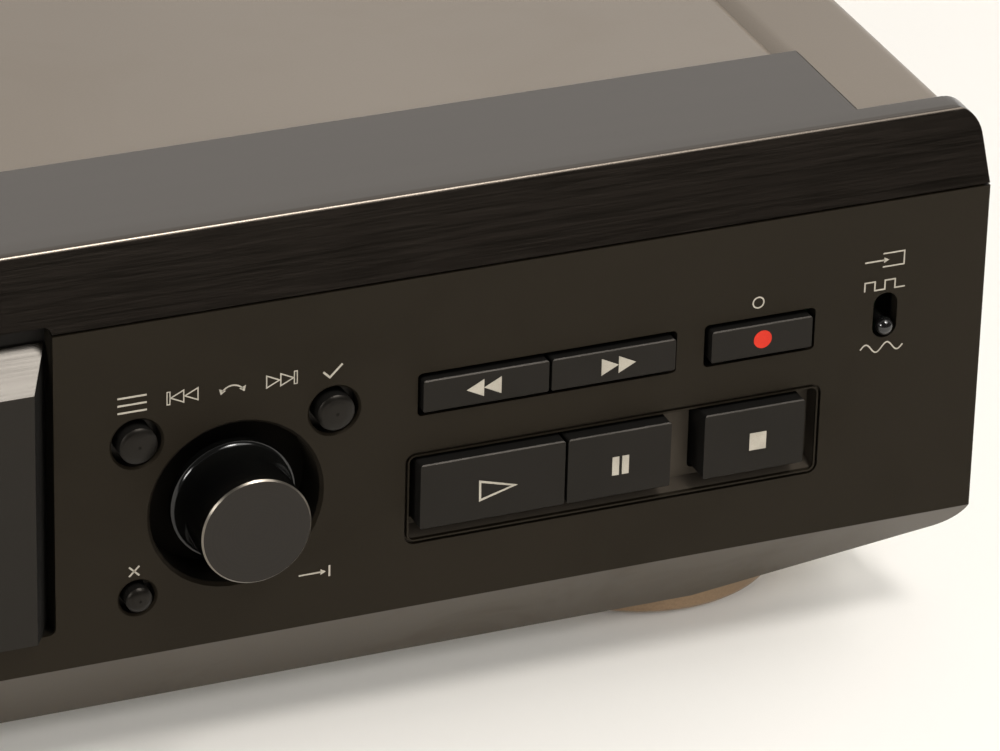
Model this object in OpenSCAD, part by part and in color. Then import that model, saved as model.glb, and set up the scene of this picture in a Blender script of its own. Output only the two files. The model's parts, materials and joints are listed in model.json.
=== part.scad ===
// Minidisc deck: sheet steel case, moulded front with a brushed trim, and its working parts inside.
// X runs to the right seen from the front, Y to the back, Z up. The origin is on the floor, under the middle.

/* [Case] */
// Overall width of the front
deck_w = 430; // [410:1:460]
// Overall height, floor to top edge
deck_h = 95; // [92:1:110]
// Overall depth, knob face to socket ends
deck_d = 285; // [275:1:340]
// Height of the feet
foot_h = 10; // [9:0.5:14]
// Radius of a foot
foot_r = 25; // [18:0.5:28]
// Distance of a foot's centre from the deck's end
foot_in = 41.5; // [37:1:75]
// Distance of the front feet behind the front face
foot_front = 43.8; // [43:0.1:70]
// Distance of the rear feet ahead of the rear panel
foot_rear = 36; // [30:1:60]
// Thickness of the chassis and rear panel sheet
sheet_t = 1; // [0.8:0.1:1.6]
// Thickness of the cover sheet
cover_t = 0.8; // [0.6:0.1:1.4]
// How far the cover's sides stand in from the front's ends
cover_inset = 3.1; // [2.6:0.1:5]
// Radius of the cover's folded corners
cover_r = 3; // [2:0.5:5]
// Width of the pressed groove in the cover
groove_w = 4.1; // [3:0.1:6]
// Depth of the pressed groove
groove_d = 1.1; // [0.6:0.1:1.6]
// Distance of the groove's outer edge from the cover's side
groove_in = 17.5; // [16:0.1:30]

/* [Front] */
// Wall of the moulded front
fascia_t = 2.4; // [2:0.1:3]
// Height of the leaning strip
strip_h = 11.96; // [9:0.02:14]
// How far the strip leans back
strip_back = 6.2; // [3:0.1:9]
// Height of the crease over the bevel
crease_z = 23.87; // [20:0.01:26]
// Height of the front's lowest edge
fascia_low = 7.5; // [6.5:0.1:8.5]
// How far the bevel runs back
bevel_back = 13.64; // [10:0.02:15]
// Length of the slanted cut at each end of the bevel
cut_run = 43.7; // [35:0.1:70]
// Rise of the slanted cut
cut_rise = 11.4; // [8:0.1:13]
// Radius where the slanted cut meets the end
cut_r = 5.3; // [5:0.1:10]
// Radius of the front's top corners
corner_r = 4.5; // [3:0.1:6]
// Thickness of the brushed trim
trim_t = 1.2; // [0.8:0.1:1.6]
// Radius of the trim's top front edge
trim_r = 1.4; // [0.4:0.1:1.6]
// Fine gap under the trim's lower edge
seam_gap = 0.35; // [0.15:0.05:0.6]
// Depth of the trim's top band
band_d = 28; // [20:0.5:34]
// Distance of the top band's ends from the deck's ends
band_in = 19.7; // [16:0.1:30]

/* [Display bay] */
// Gap between the bay and the knob's recess
bay_gap = 15.75; // [14:0.05:20]
// Width of the bay
bay_w = 150; // [146:0.5:156]
// Height of the bay's lower edge above the crease
bay_rise = 6.53; // [5:0.01:9]
// How far the bay cuts up into the leaning strip
bay_over = 1.5; // [0.5:0.1:2.5]
// Corner radius of the bay
bay_r = 1.2; // [0.6:0.1:2]
// Depth of the bay behind the front face
bay_depth = 4; // [3.5:0.1:5]
// How far the bezel's face stands out
bezel_out = 2.6; // [1.5:0.1:4]
// Width of the bezel's slanted sides
bezel_side = 3.6; // [2:0.1:5]
// Height of the bezel's top facet
facet_rise = 5.75; // [4:0.05:7]
// Gap between the bezel's top edge and the bay's upper edge
facet_gap = 3.9; // [3.5:0.1:5]
// Width of the disc slot
slot_w = 76; // [74:0.5:78]
// Height of the disc slot
slot_h = 7.5; // [6.6:0.1:8]
// Height of the slot's middle below the bay's upper edge
slot_drop = 4.85; // [4.6:0.05:5.2]
// Width of the display window
window_w = 116; // [90:1:124]
// Height of the band between the window and the bezel's bend
key_band = 9.9; // [7:0.1:14]
// Height of the window's lower edge above the bay's
window_up = 6.6; // [5:0.1:8]
// Width of the eject key
eject_w = 16; // [12:0.5:20]
// Height of the eject key
eject_h = 4; // [3:0.1:5]

/* [Knob] */
// Gap between the knob's recess and the sunk pocket
knob_gap = 14.35; // [12:0.05:18]
// Distance of the knob's centre below the middle of the flat face
knob_drop = 5.05; // [3:0.05:7]
// Radius of the knob
knob_r = 9.13; // [7:0.01:10]
// How far the knob stands out
knob_out = 9.7; // [6:0.1:12]
// Radius of the knob's skirt
skirt_r = 10.4; // [9.8:0.1:12]
// Radius of the knob's recess
recess_r = 14.2; // [13:0.1:15]
// Depth of the knob's recess
recess_d = 8; // [7.5:0.1:9]
// Radius of the knob's shaft
shaft_r = 3; // [2.5:0.1:3.2]
// Push travel of the knob
knob_push = 0.6; // [0.3:0.1:0.8]

/* [Keys] */
// Radius of the two upper round keys
round_r = 3.12; // [2.5:0.01:3.6]
// Radius of the small round key
small_r = 2.18; // [1.6:0.01:2.8]
// Sideways distance of the round keys from the knob
round_dx = 16.4; // [16:0.1:20]
// Distance of the upper round keys above the knob
round_up = 13.65; // [12:0.05:15]
// Distance of the small round key below the knob
small_down = 13.9; // [12:0.1:16]
// Annular gap round a round key
round_gap = 1.05; // [0.5:0.05:1.3]
// Gap round a square-cut key
key_gap = 0.45; // [0.3:0.05:0.7]
// Travel of a key
key_travel = 0.8; // [0.4:0.1:1]
// How far the round keys stand out
round_out = 1.5; // [0.8:0.1:3]
// How far the keys in the pocket stand out
key_out = 2; // [1:0.1:3]
// Bevel on a square-cut key's long edges
key_bevel = 0.2; // [0.1:0.05:0.5]
// How far the upper row's keys stand out
row_out = 1; // [0.8:0.1:2]
// Gap above and below the upper row's keys
row_gap = 0.95; // [0.6:0.05:1.2]
// Gap at the outer ends of the pair of search keys
search_end_gap = 0.6; // [0.4:0.05:1]
// Gap between the two search keys
split_gap = 0.5; // [0.3:0.05:0.8]
// Distance of the search keys' hole from the pocket's left edge
search_in = 1.9; // [0:0.1:4]
// Width of the pair of search keys
search_w = 44.6; // [38:0.1:46]
// Gap between the search keys and the record key
record_gap = 4.8; // [4:0.1:7]
// Width of the record key's hole
record_w = 19.6; // [14:0.1:21]
// Distance of the upper row's holes below the strip
row_drop = 17.05; // [14:0.05:19]
// Height of the upper row's holes
row_h = 7.6; // [6.5:0.1:8]
// Distance of the sunk pocket from the deck's right end
pocket_in = 28.5; // [27:0.1:34]
// Width of the sunk pocket
pocket_w = 72.6; // [72.2:0.1:76]
// Gap between the upper row's holes and the sunk pocket
row_space = 6.5; // [5:0.1:9]
// Height of the sunk pocket
pocket_h = 16.6; // [16:0.1:18]
// Depth of the sunk pocket
pocket_d = 3.5; // [2:0.1:4]
// Slope of the pocket's upper and lower walls
pocket_slope = 1.1; // [0.4:0.1:1.4]
// Width of the fine groove round the pocket
pocket_groove = 0.45; // [0.3:0.05:0.6]
// Depth of the fine groove round the pocket
pocket_groove_d = 1; // [0.5:0.1:1.2]
// Width of the lip inside the pocket's groove
pocket_lip = 0.3; // [0.2:0.05:0.5]
// Height of the keys in the pocket
deep_h = 11.7; // [9:0.1:12]
// Width of the play key
play_w = 24.9; // [20:0.1:26]
// Width of the pause key
pause_w = 18; // [14:0.1:19]
// Width of the stop key
stop_w = 17.7; // [14:0.1:19]
// Distance from the pause key to the stop key
stop_space = 5.9; // [4:0.1:7]

/* [Input lever] */
// Distance of the lever from the deck's right end
lever_in = 17.7; // [15:0.1:20]
// Width of the lever's slot
lever_slot_w = 4.3; // [3.6:0.1:6]
// Height of the lever's slot
lever_slot_h = 8.15; // [7:0.05:10]
// Distance of the slot's upper end below the strip
lever_drop = 16.55; // [14:0.05:20]
// Radius of the lever's ball tip
lever_ball = 1.55; // [1:0.05:1.7]

/* [Left side] */
// Distance of the power key from the deck's left end
power_in = 25; // [20:0.5:30]
// Distance of the power key's centre below the strip
power_drop = 19.5; // [18:0.1:22]
// Radius of the power key
power_r = 6.4; // [5:0.1:8]
// Radius of the standby lamp
lamp_r = 1.6; // [1:0.1:2.5]
// Distance of the standby lamp above the power key
lamp_up = 13; // [11:0.1:14]
// Distance of the receiver window from the deck's left end
ir_in = 60; // [54:0.5:66]
// Width of the receiver window
ir_w = 18; // [12:0.5:24]
// Height of the receiver window
ir_h = 8; // [6:0.5:12]
// Height of the headphone socket above the crease
phones_rise = 13.6; // [11:0.1:16]
// Bore radius of the headphone socket
phones_r = 3.3; // [3.2:0.05:3.4]
// Depth of the headphone socket's bore
phones_deep = 31; // [29:0.5:33]
// Distance of the display key from the deck's left end
display_key_in = 65; // [58:0.5:72]
// Width of the display key's hole
small_key_w = 18; // [12:0.5:20]
// Height of the display key's hole above the crease
small_key_rise = 12.1; // [8:0.1:18]
// Height of the display key's hole
small_key_h = 6.4; // [5:0.1:8]

/* [Back] */
// How far the sockets stand out of the rear panel
socket_out = 11.3; // [9:0.1:14]
// Radius of a phono socket's shell
phono_r = 4.15; // [4:0.05:4.3]
// Distance of the outer phono column from the deck's end
phono_in = 43; // [30:1:60]
// Sideways distance between the phono columns
phono_dx = 22; // [16:1:26]
// Height of the lower phono row
phono_z = 36; // [30:1:40]
// Distance between the phono rows
phono_dz = 18; // [14:1:20]
// Distance between the optical and phono sockets
optical_gap = 30; // [20:1:50]
// Distance between the optical sockets
optical_dx = 20; // [16:1:24]
// Distance of the mains inlet from the deck's end
inlet_in = 50; // [30:1:80]
// Height of the mains inlet
inlet_z = 38; // [34:1:50]

/* [Boards] */
// Width of the main board
main_w = 146; // [120:1:150]
// Distance of the main board behind the front face
main_front = 36; // [32:1:60]
// Width of the power board
power_board_w = 86; // [70:1:100]
// Distance of the power board behind the front face
power_board_front = 122; // [118:1:130]
// Distance of the power board from the rear panel
power_board_rear = 20; // [10:1:40]
// Distance of the boards from the deck's ends
board_in = 9; // [8:0.5:14]
// Radius of the big capacitors
can_r = 8; // [5:0.5:9]
// Height of the big capacitors
can_h = 26; // [16:1:30]
// Length of the heatsink
sink_len = 50; // [30:1:60]
// Height of the heatsink
sink_h = 34; // [20:1:38]
// Width of the transformer's foot
core_w = 60; // [50:1:64]
// Depth of the transformer's foot
core_d = 50; // [40:1:54]
// Height of the transformer
core_h = 46; // [36:1:52]
// Distance of the transformer's centre behind the front face
core_front = 87; // [84:1:92]

/* [Disc mechanism] */
// Travel of the loading slider
load_travel = 10; // [8:0.5:10.5]
// How far the cartridge holder sinks
holder_drop = 4; // [3:0.1:4.2]
// Travel of the pickup
sled_travel = 16.5; // [12:0.5:17]
// Pitch of the lead screw
screw_pitch = 2; // [1:0.1:3]
// Tooth module of the loading gears
gear_m = 0.6; // [0.5:0.05:0.65]
// Teeth of the loading gear
gear_teeth = 28; // [24:2:30]
// Teeth of the motor pinion
pinion_teeth = 14; // [12:2:16]

/* [Hidden] */
$fn = 48;

eps = 0.05; // overshoot of a cut
run_gap = 0.05; // radial running clearance
slide_gap = 0.2; // clearance of a sliding part
free_gap = 0.4; // clearance between a moving part and its surroundings

panel_y = -deck_d / 2 + knob_out;
rear_y = deck_d / 2 - socket_out;
seam_z = deck_h - strip_h;
half_w = deck_w / 2;
bevel_h = crease_z - fascia_low;
floor_z = foot_h + sheet_t; // upper face of the chassis plate
cover_drop = 0.4; // cover's top below the trim's
cover_top = deck_h - cover_drop;
cover_half = half_w - cover_inset;
cover_front = panel_y + 10.9;
cover_low = foot_h + 4;
front_gap = 0.5; // dark line between trim and cover
fascia_end = cover_front - front_gap; // rear edge of the front's ends
tray_front = panel_y + 18;
band_y = panel_y + strip_back + band_d; // rear edge of the trim's top band
lip_y = panel_y + foot_front - foot_r - 0.6; // rear edge of the front's lip under the tray
wall_y = panel_y + fascia_t; // inner face of the front wall
board_y = panel_y + 20.8; // front face of the key boards
board_t = 1.6;
plunger_y = board_y - 5.4; // tip of a tact switch
stem_y = plunger_y - key_travel - slide_gap; // rear end of a key's stem
screw_r = 1.5;
screw_head_r = 3.6;
screw_head_h = 2;
hole_r = screw_r + run_gap;

foot_x = half_w - foot_in;
groove_x = cover_half - groove_in;
band_half = half_w - band_in;

// places along the front, chained from its right end
lever_x = half_w - lever_in;
pocket_x = half_w - pocket_in - pocket_w;
search_x = pocket_x + search_in;
record_x = search_x + search_w + record_gap;
knob_x = pocket_x - knob_gap - recess_r;
knob_z = (seam_z + crease_z) / 2 - knob_drop;
row_z = seam_z - row_drop - row_h;
pocket_z = row_z - row_space - pocket_h;
lever_slot_z = seam_z - lever_drop - lever_slot_h;
power_x = power_in - half_w;
power_z = seam_z - power_drop;
lamp_z = power_z + lamp_up;
ir_x = ir_in - half_w;
phones_x = power_x;
phones_z = crease_z + phones_rise;
display_x = display_key_in - half_w;
small_key_z = crease_z + small_key_rise;

bay_top = seam_z + bay_over;
bay_low = crease_z + bay_rise;
bay_right = knob_x - recess_r - bay_gap;
bay_left = bay_right - bay_w;
bay_x = bay_right - bay_w / 2;
bezel_y = panel_y - bezel_out;
flange_y = panel_y + bay_depth; // face of the bezel's flange, the floor of the gap
flange_t = 1.8;
flange_back = flange_y + flange_t;
facet_top = bay_top - facet_gap;
facet_y = panel_y + bay_depth - 0.5;
bend_z = facet_top - facet_rise;
bezel_half = bay_w / 2 - slide_gap;
slot_z = bay_top - slot_drop;
window_z = bay_low + window_up;
window_h = bend_z - window_z - key_band;
window_t = 1.5;
ledge = 3; // width of the ledge behind the window
tube_y = flange_back + 0.4;
tube_t = 6;
display_board_y = tube_y + tube_t;
display_board_half = 66;

recess_back = panel_y + recess_d;
collar_r = shaft_r + 1.15;
bushing_r = collar_r + 0.9;
row_top = row_z + row_h;
split_x = search_x + search_w / 2;
rewind_x = [search_x + search_end_gap, split_x - split_gap / 2]; // the key's ends
forward_x = [split_x + split_gap / 2, search_x + search_w - search_end_gap];
deep_z = pocket_z + pocket_h / 2 + 1.05;
play_x = pocket_x + 1.9 + play_w / 2;
pause_x = play_x + play_w / 2 + 0.5 + pause_w / 2;
stop_x = pause_x + pause_w / 2 + stop_space + stop_w / 2;
pocket_floor = panel_y + pocket_d;
pocket_wall = 1.8;
pocket_r = 1.8; // corner radius of the pocket
lever_low = lever_slot_z + lever_ball + 0.5;
lever_travel = lever_slot_h - 2 * lever_ball - 1;

// the disc mechanism's own places
mech_y = panel_y + 20.8; // front edge of the frame
mech_len = 104;
plate_z = slot_z - 19.65; // underside of the frame's plate
plate_t = 1.5;
deck_top = plate_z + plate_t;
holder_y = panel_y + 18.8;
holder_len = 66;
holder_half = 36.4; // half the cartridge space
holder_t = 0.8;
holder_in = 5.6; // height of the cartridge space
side_room = 10.5; // from the holder's side to the frame's
wall_t = 1.5;
frame_half = holder_half + holder_t + side_room;
disc_y = holder_y + 34;
pin_r = 1.2;
pin_front = holder_y + 16;
pin_rear = holder_y + 58;
slider_t = 1.2;
wall_gap = 3.4; // between the slider and the frame's wall
rack_in = 2.2; // from the slider to its rack's pitch line
slider_x = bay_x + frame_half - wall_t - wall_gap - slider_t;
slider_low = deck_top + slide_gap;
rack_x = slider_x - rack_in;
gear_h = 3;
gear_z = deck_top + 1.5;
gear_r = gear_m * gear_teeth / 2;
pinion_r = gear_m * pinion_teeth / 2;
gear_x = rack_x - gear_r;
gear_y = mech_y + 16;
pinion_x = gear_x - gear_r - pinion_r;
rod_r = 1.5;
rod_x = 14;
rod_z = deck_top + 4.5;
lens_y = disc_y + 14.5;
screw_x = bay_x + 24;
hinge_y = lens_y + 22;
hinge_z = slot_z + 6.4;
spindle_r = 1; // radius of the small shafts
lead_r = 1.5; // radius of the lead screw's thread
foot_y = [panel_y + foot_front, rear_y - foot_rear];
side_screw_y = [panel_y + 62, rear_y - 46];
side_screw_z = floor_z + 9;
rear_screw_x = [-140, 0, 140];
rear_screw_z = cover_top - 6;

// key boards: middle, width and the places of their bosses
board_low = floor_z + 12;
board_high = cover_top - 13;
board_end = half_w - board_in;
front_board_x = [bay_right + 4.6, board_end];
left_board_x = [-board_end, bay_left - 7.4];
boss_r = 3;
boss_in = 4; // from a board's edge to its bosses
boss_low = board_low + boss_in;
boss_high = board_high - boss_in;
boss_places = [
  [front_board_x[0] + boss_in, boss_high], [knob_x, boss_low],
  [front_board_x[1] - boss_in, boss_high], [front_board_x[1] - boss_in, boss_low],
  [left_board_x[0] + boss_in, boss_high], [left_board_x[0] + boss_in, boss_low],
  [left_board_x[1] - boss_in, boss_high], [left_board_x[1] - boss_in, boss_low]
];

cover_grey = [0.20, 0.18, 0.16];
front_black = [0.15, 0.135, 0.115];
trim_brown = [0.16, 0.14, 0.12];
key_black = [0.12, 0.115, 0.11];
zinc = [0.72, 0.72, 0.70];
board_green = [0.10, 0.30, 0.16];
dark_part = [0.08, 0.08, 0.08];

// ---- helpers ----

// points of an arc about c
function arc(c, r, from, to, n = 8) =
  [for (i = [0:n]) let (a = from + (to - from) * i / n) c + r * [cos(a), sin(a)]];

module along_x(x0, x1) {
  translate([x0, 0, 0]) rotate([90, 0, 90]) linear_extrude(x1 - x0) children();
}

module along_y(y0, y1) {
  translate([0, y1, 0]) rotate([90, 0, 0]) linear_extrude(y1 - y0) children();
}

module block(low, high) {
  translate(low) cube(high - low);
}

module rod_along_x(r, x0, x1, y, z) {
  translate([x0, y, z]) rotate([0, 90, 0]) cylinder(r = r, h = x1 - x0);
}

module rod_along_y(r, x, y0, y1, z) {
  translate([x, y0, z]) rotate([-90, 0, 0]) cylinder(r = r, h = y1 - y0);
}

// solid of revolution about a line along Y; points are [radius, y]
module turned(x, z, points) {
  translate([x, 0, z]) rotate([-90, 0, 0]) rotate_extrude() polygon(points);
}

// rectangle with round corners, from its two corners
module soft_rect(low, high, r) {
  translate([low[0] + r, low[1]]) square([high[0] - low[0] - 2 * r, high[1] - low[1]]);
  translate([low[0], low[1] + r]) square([high[0] - low[0], high[1] - low[1] - 2 * r]);
  for (x = [low[0] + r, high[0] - r])
    for (z = [low[1] + r, high[1] - r])
      translate([x, z]) circle(r);
}

// ---- front ----

cut_angle = atan2(cut_rise, cut_run);
cut_center = [half_w - cut_r, fascia_low + cut_rise + cut_r * tan((90 - cut_angle) / 2)];

// front view of the fascia, drawn in by i
function front_outline(i) =
  let (
    start = half_w - cut_run - i * (1 / cos(cut_angle) - 1) / tan(cut_angle),
    top = [half_w - corner_r, deck_h - corner_r],
    right = concat([[start, fascia_low + i]], arc(cut_center, cut_r - i, cut_angle - 90, 0),
      arc(top, corner_r - i, 0, 90))
  )
  concat(right, [for (k = [len(right) - 1:-1:0]) [-right[k][0], right[k][1]]]);

lean = atan2(strip_back, strip_h);
bevel_lean = atan2(bevel_back, bevel_h);

// side view of the front: back edge y, inset i
function front_side(i, back) =
  [
    [back, deck_h - i],
    [panel_y + (strip_h - i) * tan(lean) + i / cos(lean), deck_h - i],
    [panel_y + i, seam_z - i * (1 / cos(lean) - 1) / tan(lean)],
    [panel_y + i, crease_z + i * (1 / cos(bevel_lean) - 1) / tan(bevel_lean)],
    [panel_y + (bevel_h - i) * tan(bevel_lean) + i / cos(bevel_lean), fascia_low + i],
    [back, fascia_low + i]
  ];

module front_block(i, back) {
  intersection() {
    along_x(-half_w, half_w) polygon(front_side(i, back));
    along_y(panel_y - 1, back) polygon(front_outline(i));
  }
}

// brushed plate: leaning strip and top band in one bend, with its rounded front edge
trim_inner = panel_y + trim_t / cos(lean);
module trim_plate(edge_r, gap) {
  edge_y = panel_y + strip_back;
  edge_center = [edge_y + edge_r * tan((90 - lean) / 2), deck_h - edge_r];
  edge = edge_r > 0 ? arc(edge_center, edge_r, 180 - lean, 90, 6) : [[edge_y, deck_h]];
  intersection() {
    along_x(-half_w, half_w) polygon(concat(
      [[trim_inner + gap * tan(lean), seam_z + gap], [panel_y + gap * tan(lean), seam_z + gap]],
      edge,
      [[band_y, deck_h], [band_y, deck_h - trim_t],
        [trim_inner + (strip_h - trim_t) * tan(lean), deck_h - trim_t]]
    ));
    along_y(panel_y - 1, band_y) polygon(front_outline(0));
  }
}

// cut that leaves room for the cover's forward strips
module cover_room() {
  for (s = [-1, 1])
    translate([s * (band_half + half_w + 1) / 2, 0, deck_h / 2])
      translate([0, (fascia_end + band_y + 1) / 2, 0])
        cube([half_w + 1 - band_half, band_y + 1 - fascia_end, deck_h + 1], center = true);
}

module bay_cut() {
  along_y(panel_y - 1, flange_y + fascia_t)
    soft_rect([bay_left, bay_low], [bay_right, bay_top], bay_r);
}

module key_hole(low, high) {
  along_y(panel_y - 1, wall_y + 1) soft_rect(low, high, 0.8);
}

module round_hole(x, z, r) {
  rod_along_y(r, x, panel_y - 1, wall_y + 1, z);
  turned(x, z, [[0, panel_y - eps], [r + 0.35 + eps, panel_y - eps], [r, panel_y + 0.35],
    [0, panel_y + 0.35]]);
}

// front view of the pocket's rim, drawn in by i
module pocket_rim(i) {
  soft_rect([pocket_x + i, pocket_z + i], [pocket_x + pocket_w - i, pocket_z + pocket_h - i], pocket_r - i);
}

// sloped pocket behind the play, pause and stop keys, with a fine groove round it
module pocket_cut() {
  inset = pocket_groove + pocket_lip;
  low = pocket_z + inset;
  high = pocket_z + pocket_h - inset;
  intersection() {
    along_y(panel_y - 1, pocket_floor) pocket_rim(inset);
    along_x(pocket_x, pocket_x + pocket_w) polygon([
      [panel_y - 1, low], [panel_y, low], [pocket_floor, low + pocket_slope],
      [pocket_floor, high - pocket_slope], [panel_y, high], [panel_y - 1, high]
    ]);
  }
  difference() {
    along_y(panel_y - 1, panel_y + pocket_groove_d) pocket_rim(0);
    along_y(panel_y - 2, panel_y + pocket_groove_d + 1) pocket_rim(pocket_groove);
  }
}

module deep_hole(x0, x1) {
  along_y(panel_y, pocket_floor + pocket_wall + 1)
    soft_rect([x0 - key_gap, deep_z - deep_h / 2 - key_gap],
      [x1 + key_gap, deep_z + deep_h / 2 + key_gap], 0.8);
}

module front_fascia() {
  color(front_black) difference() {
    union() {
      difference() {
        front_block(0, band_y - 1.5);
        front_block(fascia_t, band_y);
        // open back, and room for the tray
        block([-half_w - 1, tray_front - free_gap, foot_h], [half_w + 1, band_y + 1, deck_h - fascia_t]);
        block([-half_w - 1, lip_y, 0], [half_w + 1, band_y + 1, foot_h + eps]);
        trim_plate(0, 0);
        cover_room();
      }
      // bay surround
      along_y(wall_y - eps, flange_y)
        soft_rect([bay_left - fascia_t, bay_low - fascia_t], [bay_right + fascia_t, seam_z + fascia_t],
          bay_r);
      // knob cup
      rod_along_y(recess_r + 1.6, knob_x, wall_y - eps, recess_back + 1.5, knob_z);
      // pocket box
      block([pocket_x - 1.6, wall_y - eps, pocket_z - 1.6],
        [pocket_x + pocket_w + 1.6, pocket_floor + pocket_wall, pocket_z + pocket_h + 1.6]);
      // board bosses
      for (p = boss_places)
        rod_along_y(boss_r, p[0], wall_y - eps, board_y, p[1]);
    }
    bay_cut();
    turned(knob_x, knob_z, [[0, panel_y - 1], [recess_r + 1, panel_y - 1], [recess_r + 0.6, panel_y],
      [recess_r, panel_y + 0.6], [recess_r, recess_back], [0, recess_back]]);
    rod_along_y(bushing_r + free_gap, knob_x, panel_y, recess_back + 3, knob_z);
    for (s = [-1, 1])
      round_hole(knob_x + s * round_dx, knob_z + round_up, round_r + round_gap);
    round_hole(knob_x - round_dx, knob_z - small_down, small_r + round_gap * 0.78);
    key_hole([search_x, row_z], [search_x + search_w, row_top]);
    key_hole([record_x, row_z], [record_x + record_w, row_top]);
    pocket_cut();
    deep_hole(play_x - play_w / 2, pause_x + pause_w / 2);
    deep_hole(stop_x - stop_w / 2, stop_x + stop_w / 2);
    along_y(panel_y - 1, wall_y + 1)
      soft_rect([lever_x - lever_slot_w / 2, lever_slot_z],
        [lever_x + lever_slot_w / 2, lever_slot_z + lever_slot_h], lever_slot_w / 2 - eps);
    round_hole(power_x, power_z, power_r + key_gap);
    round_hole(power_x, lamp_z, lamp_r);
    key_hole([ir_x - ir_w / 2, power_z - ir_h / 2], [ir_x + ir_w / 2, power_z + ir_h / 2]);
    round_hole(phones_x, phones_z, phones_r + 2.4);
    key_hole([display_x - small_key_w / 2, small_key_z],
      [display_x + small_key_w / 2, small_key_z + small_key_h]);
  }
}

module fascia_trim() {
  color(trim_brown) difference() {
    trim_plate(trim_r, seam_gap);
    cover_room();
    bay_cut();
  }
}

// ---- case ----

// front view of the cover's folded sheet
module cover_section() {
  inner_r = cover_r - cover_t;
  corner = [cover_half - cover_r, cover_top - cover_r];
  left = [-corner[0], corner[1]];
  mid = groove_x - groove_w / 2;
  difference() {
    polygon(concat([[-cover_half, cover_low], [cover_half, cover_low]],
      arc(corner, cover_r, 0, 90), arc(left, cover_r, 90, 180)));
    difference() {
      polygon(concat([[-cover_half + cover_t, cover_low - 1], [cover_half - cover_t, cover_low - 1]],
        arc(corner, inner_r, 0, 90), arc(left, inner_r, 90, 180)));
      for (s = [-1, 1])
        translate([s * mid, cover_top - cover_t])
          polygon([[-groove_w / 2, eps], [groove_w / 2, eps], [0, -groove_d]]);
    }
    for (s = [-1, 1])
      translate([s * mid, cover_top])
        polygon([[-groove_w / 2, eps], [groove_w / 2, eps], [0, -groove_d]]);
  }
}

tray_vent_w = 3;
vent_count = 14;
vent_pitch = 7;
vent_w = 2.4;
vent_h = 22;

module top_cover() {
  rear = rear_y + cover_t;
  color(cover_grey) difference() {
    union() {
      along_y(cover_front, rear) cover_section();
      block([-cover_half + cover_t - eps, rear_y, cover_top - 12],
        [cover_half - cover_t + eps, rear, cover_top - eps]);
    }
    // room for the trim's top band
    block([-band_half - front_gap, cover_front - 1, cover_top - cover_r - 3],
      [band_half + front_gap, band_y + front_gap, cover_top + 1]);
    // side vents
    for (s = [-1, 1])
      for (i = [0:vent_count - 1])
        translate([s * cover_half, rear_y - 30 - i * vent_pitch, cover_low + 40])
          cube([4 * cover_t, vent_w, vent_h], center = true);
    for (y = side_screw_y)
      rod_along_x(hole_r, -cover_half - 1, cover_half + 1, y, side_screw_z);
    for (x = rear_screw_x)
      rod_along_y(hole_r, x, rear_y - 1, rear + 1, rear_screw_z);
  }
}

module bottom_chassis() {
  side = cover_half - cover_t;
  wall = 20;
  color(zinc) difference() {
    union() {
      block([-side, tray_front, foot_h], [side, rear_y, floor_z]);
      for (s = [-1, 1])
        translate([s * (side - sheet_t / 2), (tray_front + rear_y) / 2, floor_z + wall / 2 - eps])
          cube([sheet_t, rear_y - tray_front, wall + 2 * eps], center = true);
      block([-side + sheet_t - eps, tray_front, floor_z - eps],
        [side - sheet_t + eps, tray_front + sheet_t, floor_z + 12]);
      // posts under the main and power boards
      for (p = board_posts)
        translate([p[0], p[1], floor_z - eps]) cylinder(r = 3, h = board_rise + eps);
    }
    for (x = [-foot_x, foot_x])
      for (y = foot_y)
        translate([x, y, foot_h - 1]) cylinder(r = hole_r, h = sheet_t + 2);
    for (y = side_screw_y)
      rod_along_x(hole_r, -half_w, half_w, y, side_screw_z);
    // vents under the transformer
    for (i = [-3.5:3.5])
      translate([core_x + i * core_w / 8, core_y, foot_h])
        cube([tray_vent_w, core_d * 0.7, 4 * sheet_t], center = true);
  }
}

optical_half = 6.8; // half the height of an optical socket
phono_x = half_w - phono_in - phono_dx;
optical_x = phono_x - optical_gap - optical_dx;
inlet_x = inlet_in - half_w;
module phono_places() {
  for (i = [0, 1])
    for (j = [0, 1])
      translate([phono_x + i * phono_dx, 0, phono_z + j * phono_dz]) children();
}

module optical_places() {
  for (i = [0, 1])
    translate([optical_x + i * optical_dx, 0, low_board_z + board_t + optical_half]) children();
}

module rear_panel() {
  side = cover_half - cover_t - sheet_t;
  color(dark_part) difference() {
    block([-side, rear_y - sheet_t, floor_z], [side, rear_y, cover_top - cover_t]);
    phono_places() rod_along_y(phono_r + 1.2, 0, rear_y - 3, rear_y + 1, 0);
    optical_places() block([-5, rear_y - 3, -optical_half - 0.2], [5, rear_y + 1, optical_half + 0.2]);
    block([inlet_x - 11, rear_y - 3, inlet_z - 7], [inlet_x + 11, rear_y + 1, inlet_z + 7]);
    for (x = rear_screw_x)
      rod_along_y(hole_r, x, rear_y - 3, rear_y + 1, rear_screw_z);
    // grooves pressed round the cut V beads of the cover
    for (s = [-1, 1])
      translate([s * (groove_x - groove_w / 2), rear_y - sheet_t / 2, cover_top - cover_t])
        cube([groove_w + 1, 2 * sheet_t, 2 * groove_d + 0.6], center = true);
  }
}

module feet() {
  rim = 1.5;
  low = 1.2;
  color([0.30, 0.26, 0.21])
    for (x = [-foot_x, foot_x])
      for (y = foot_y)
        translate([x, y, 0]) rotate_extrude() polygon([
          [hole_r, foot_h], [foot_r - rim, foot_h], [foot_r, foot_h - rim], [foot_r, low + rim],
          [foot_r - rim, low], [pad_out, low], [pad_out, low + 0.6], [pad_in, low + 0.6], [pad_in, low],
          [screw_head_r + 0.6, low], [screw_head_r + 0.6, foot_h - 5], [hole_r, foot_h - 5]
        ]);
}

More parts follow.
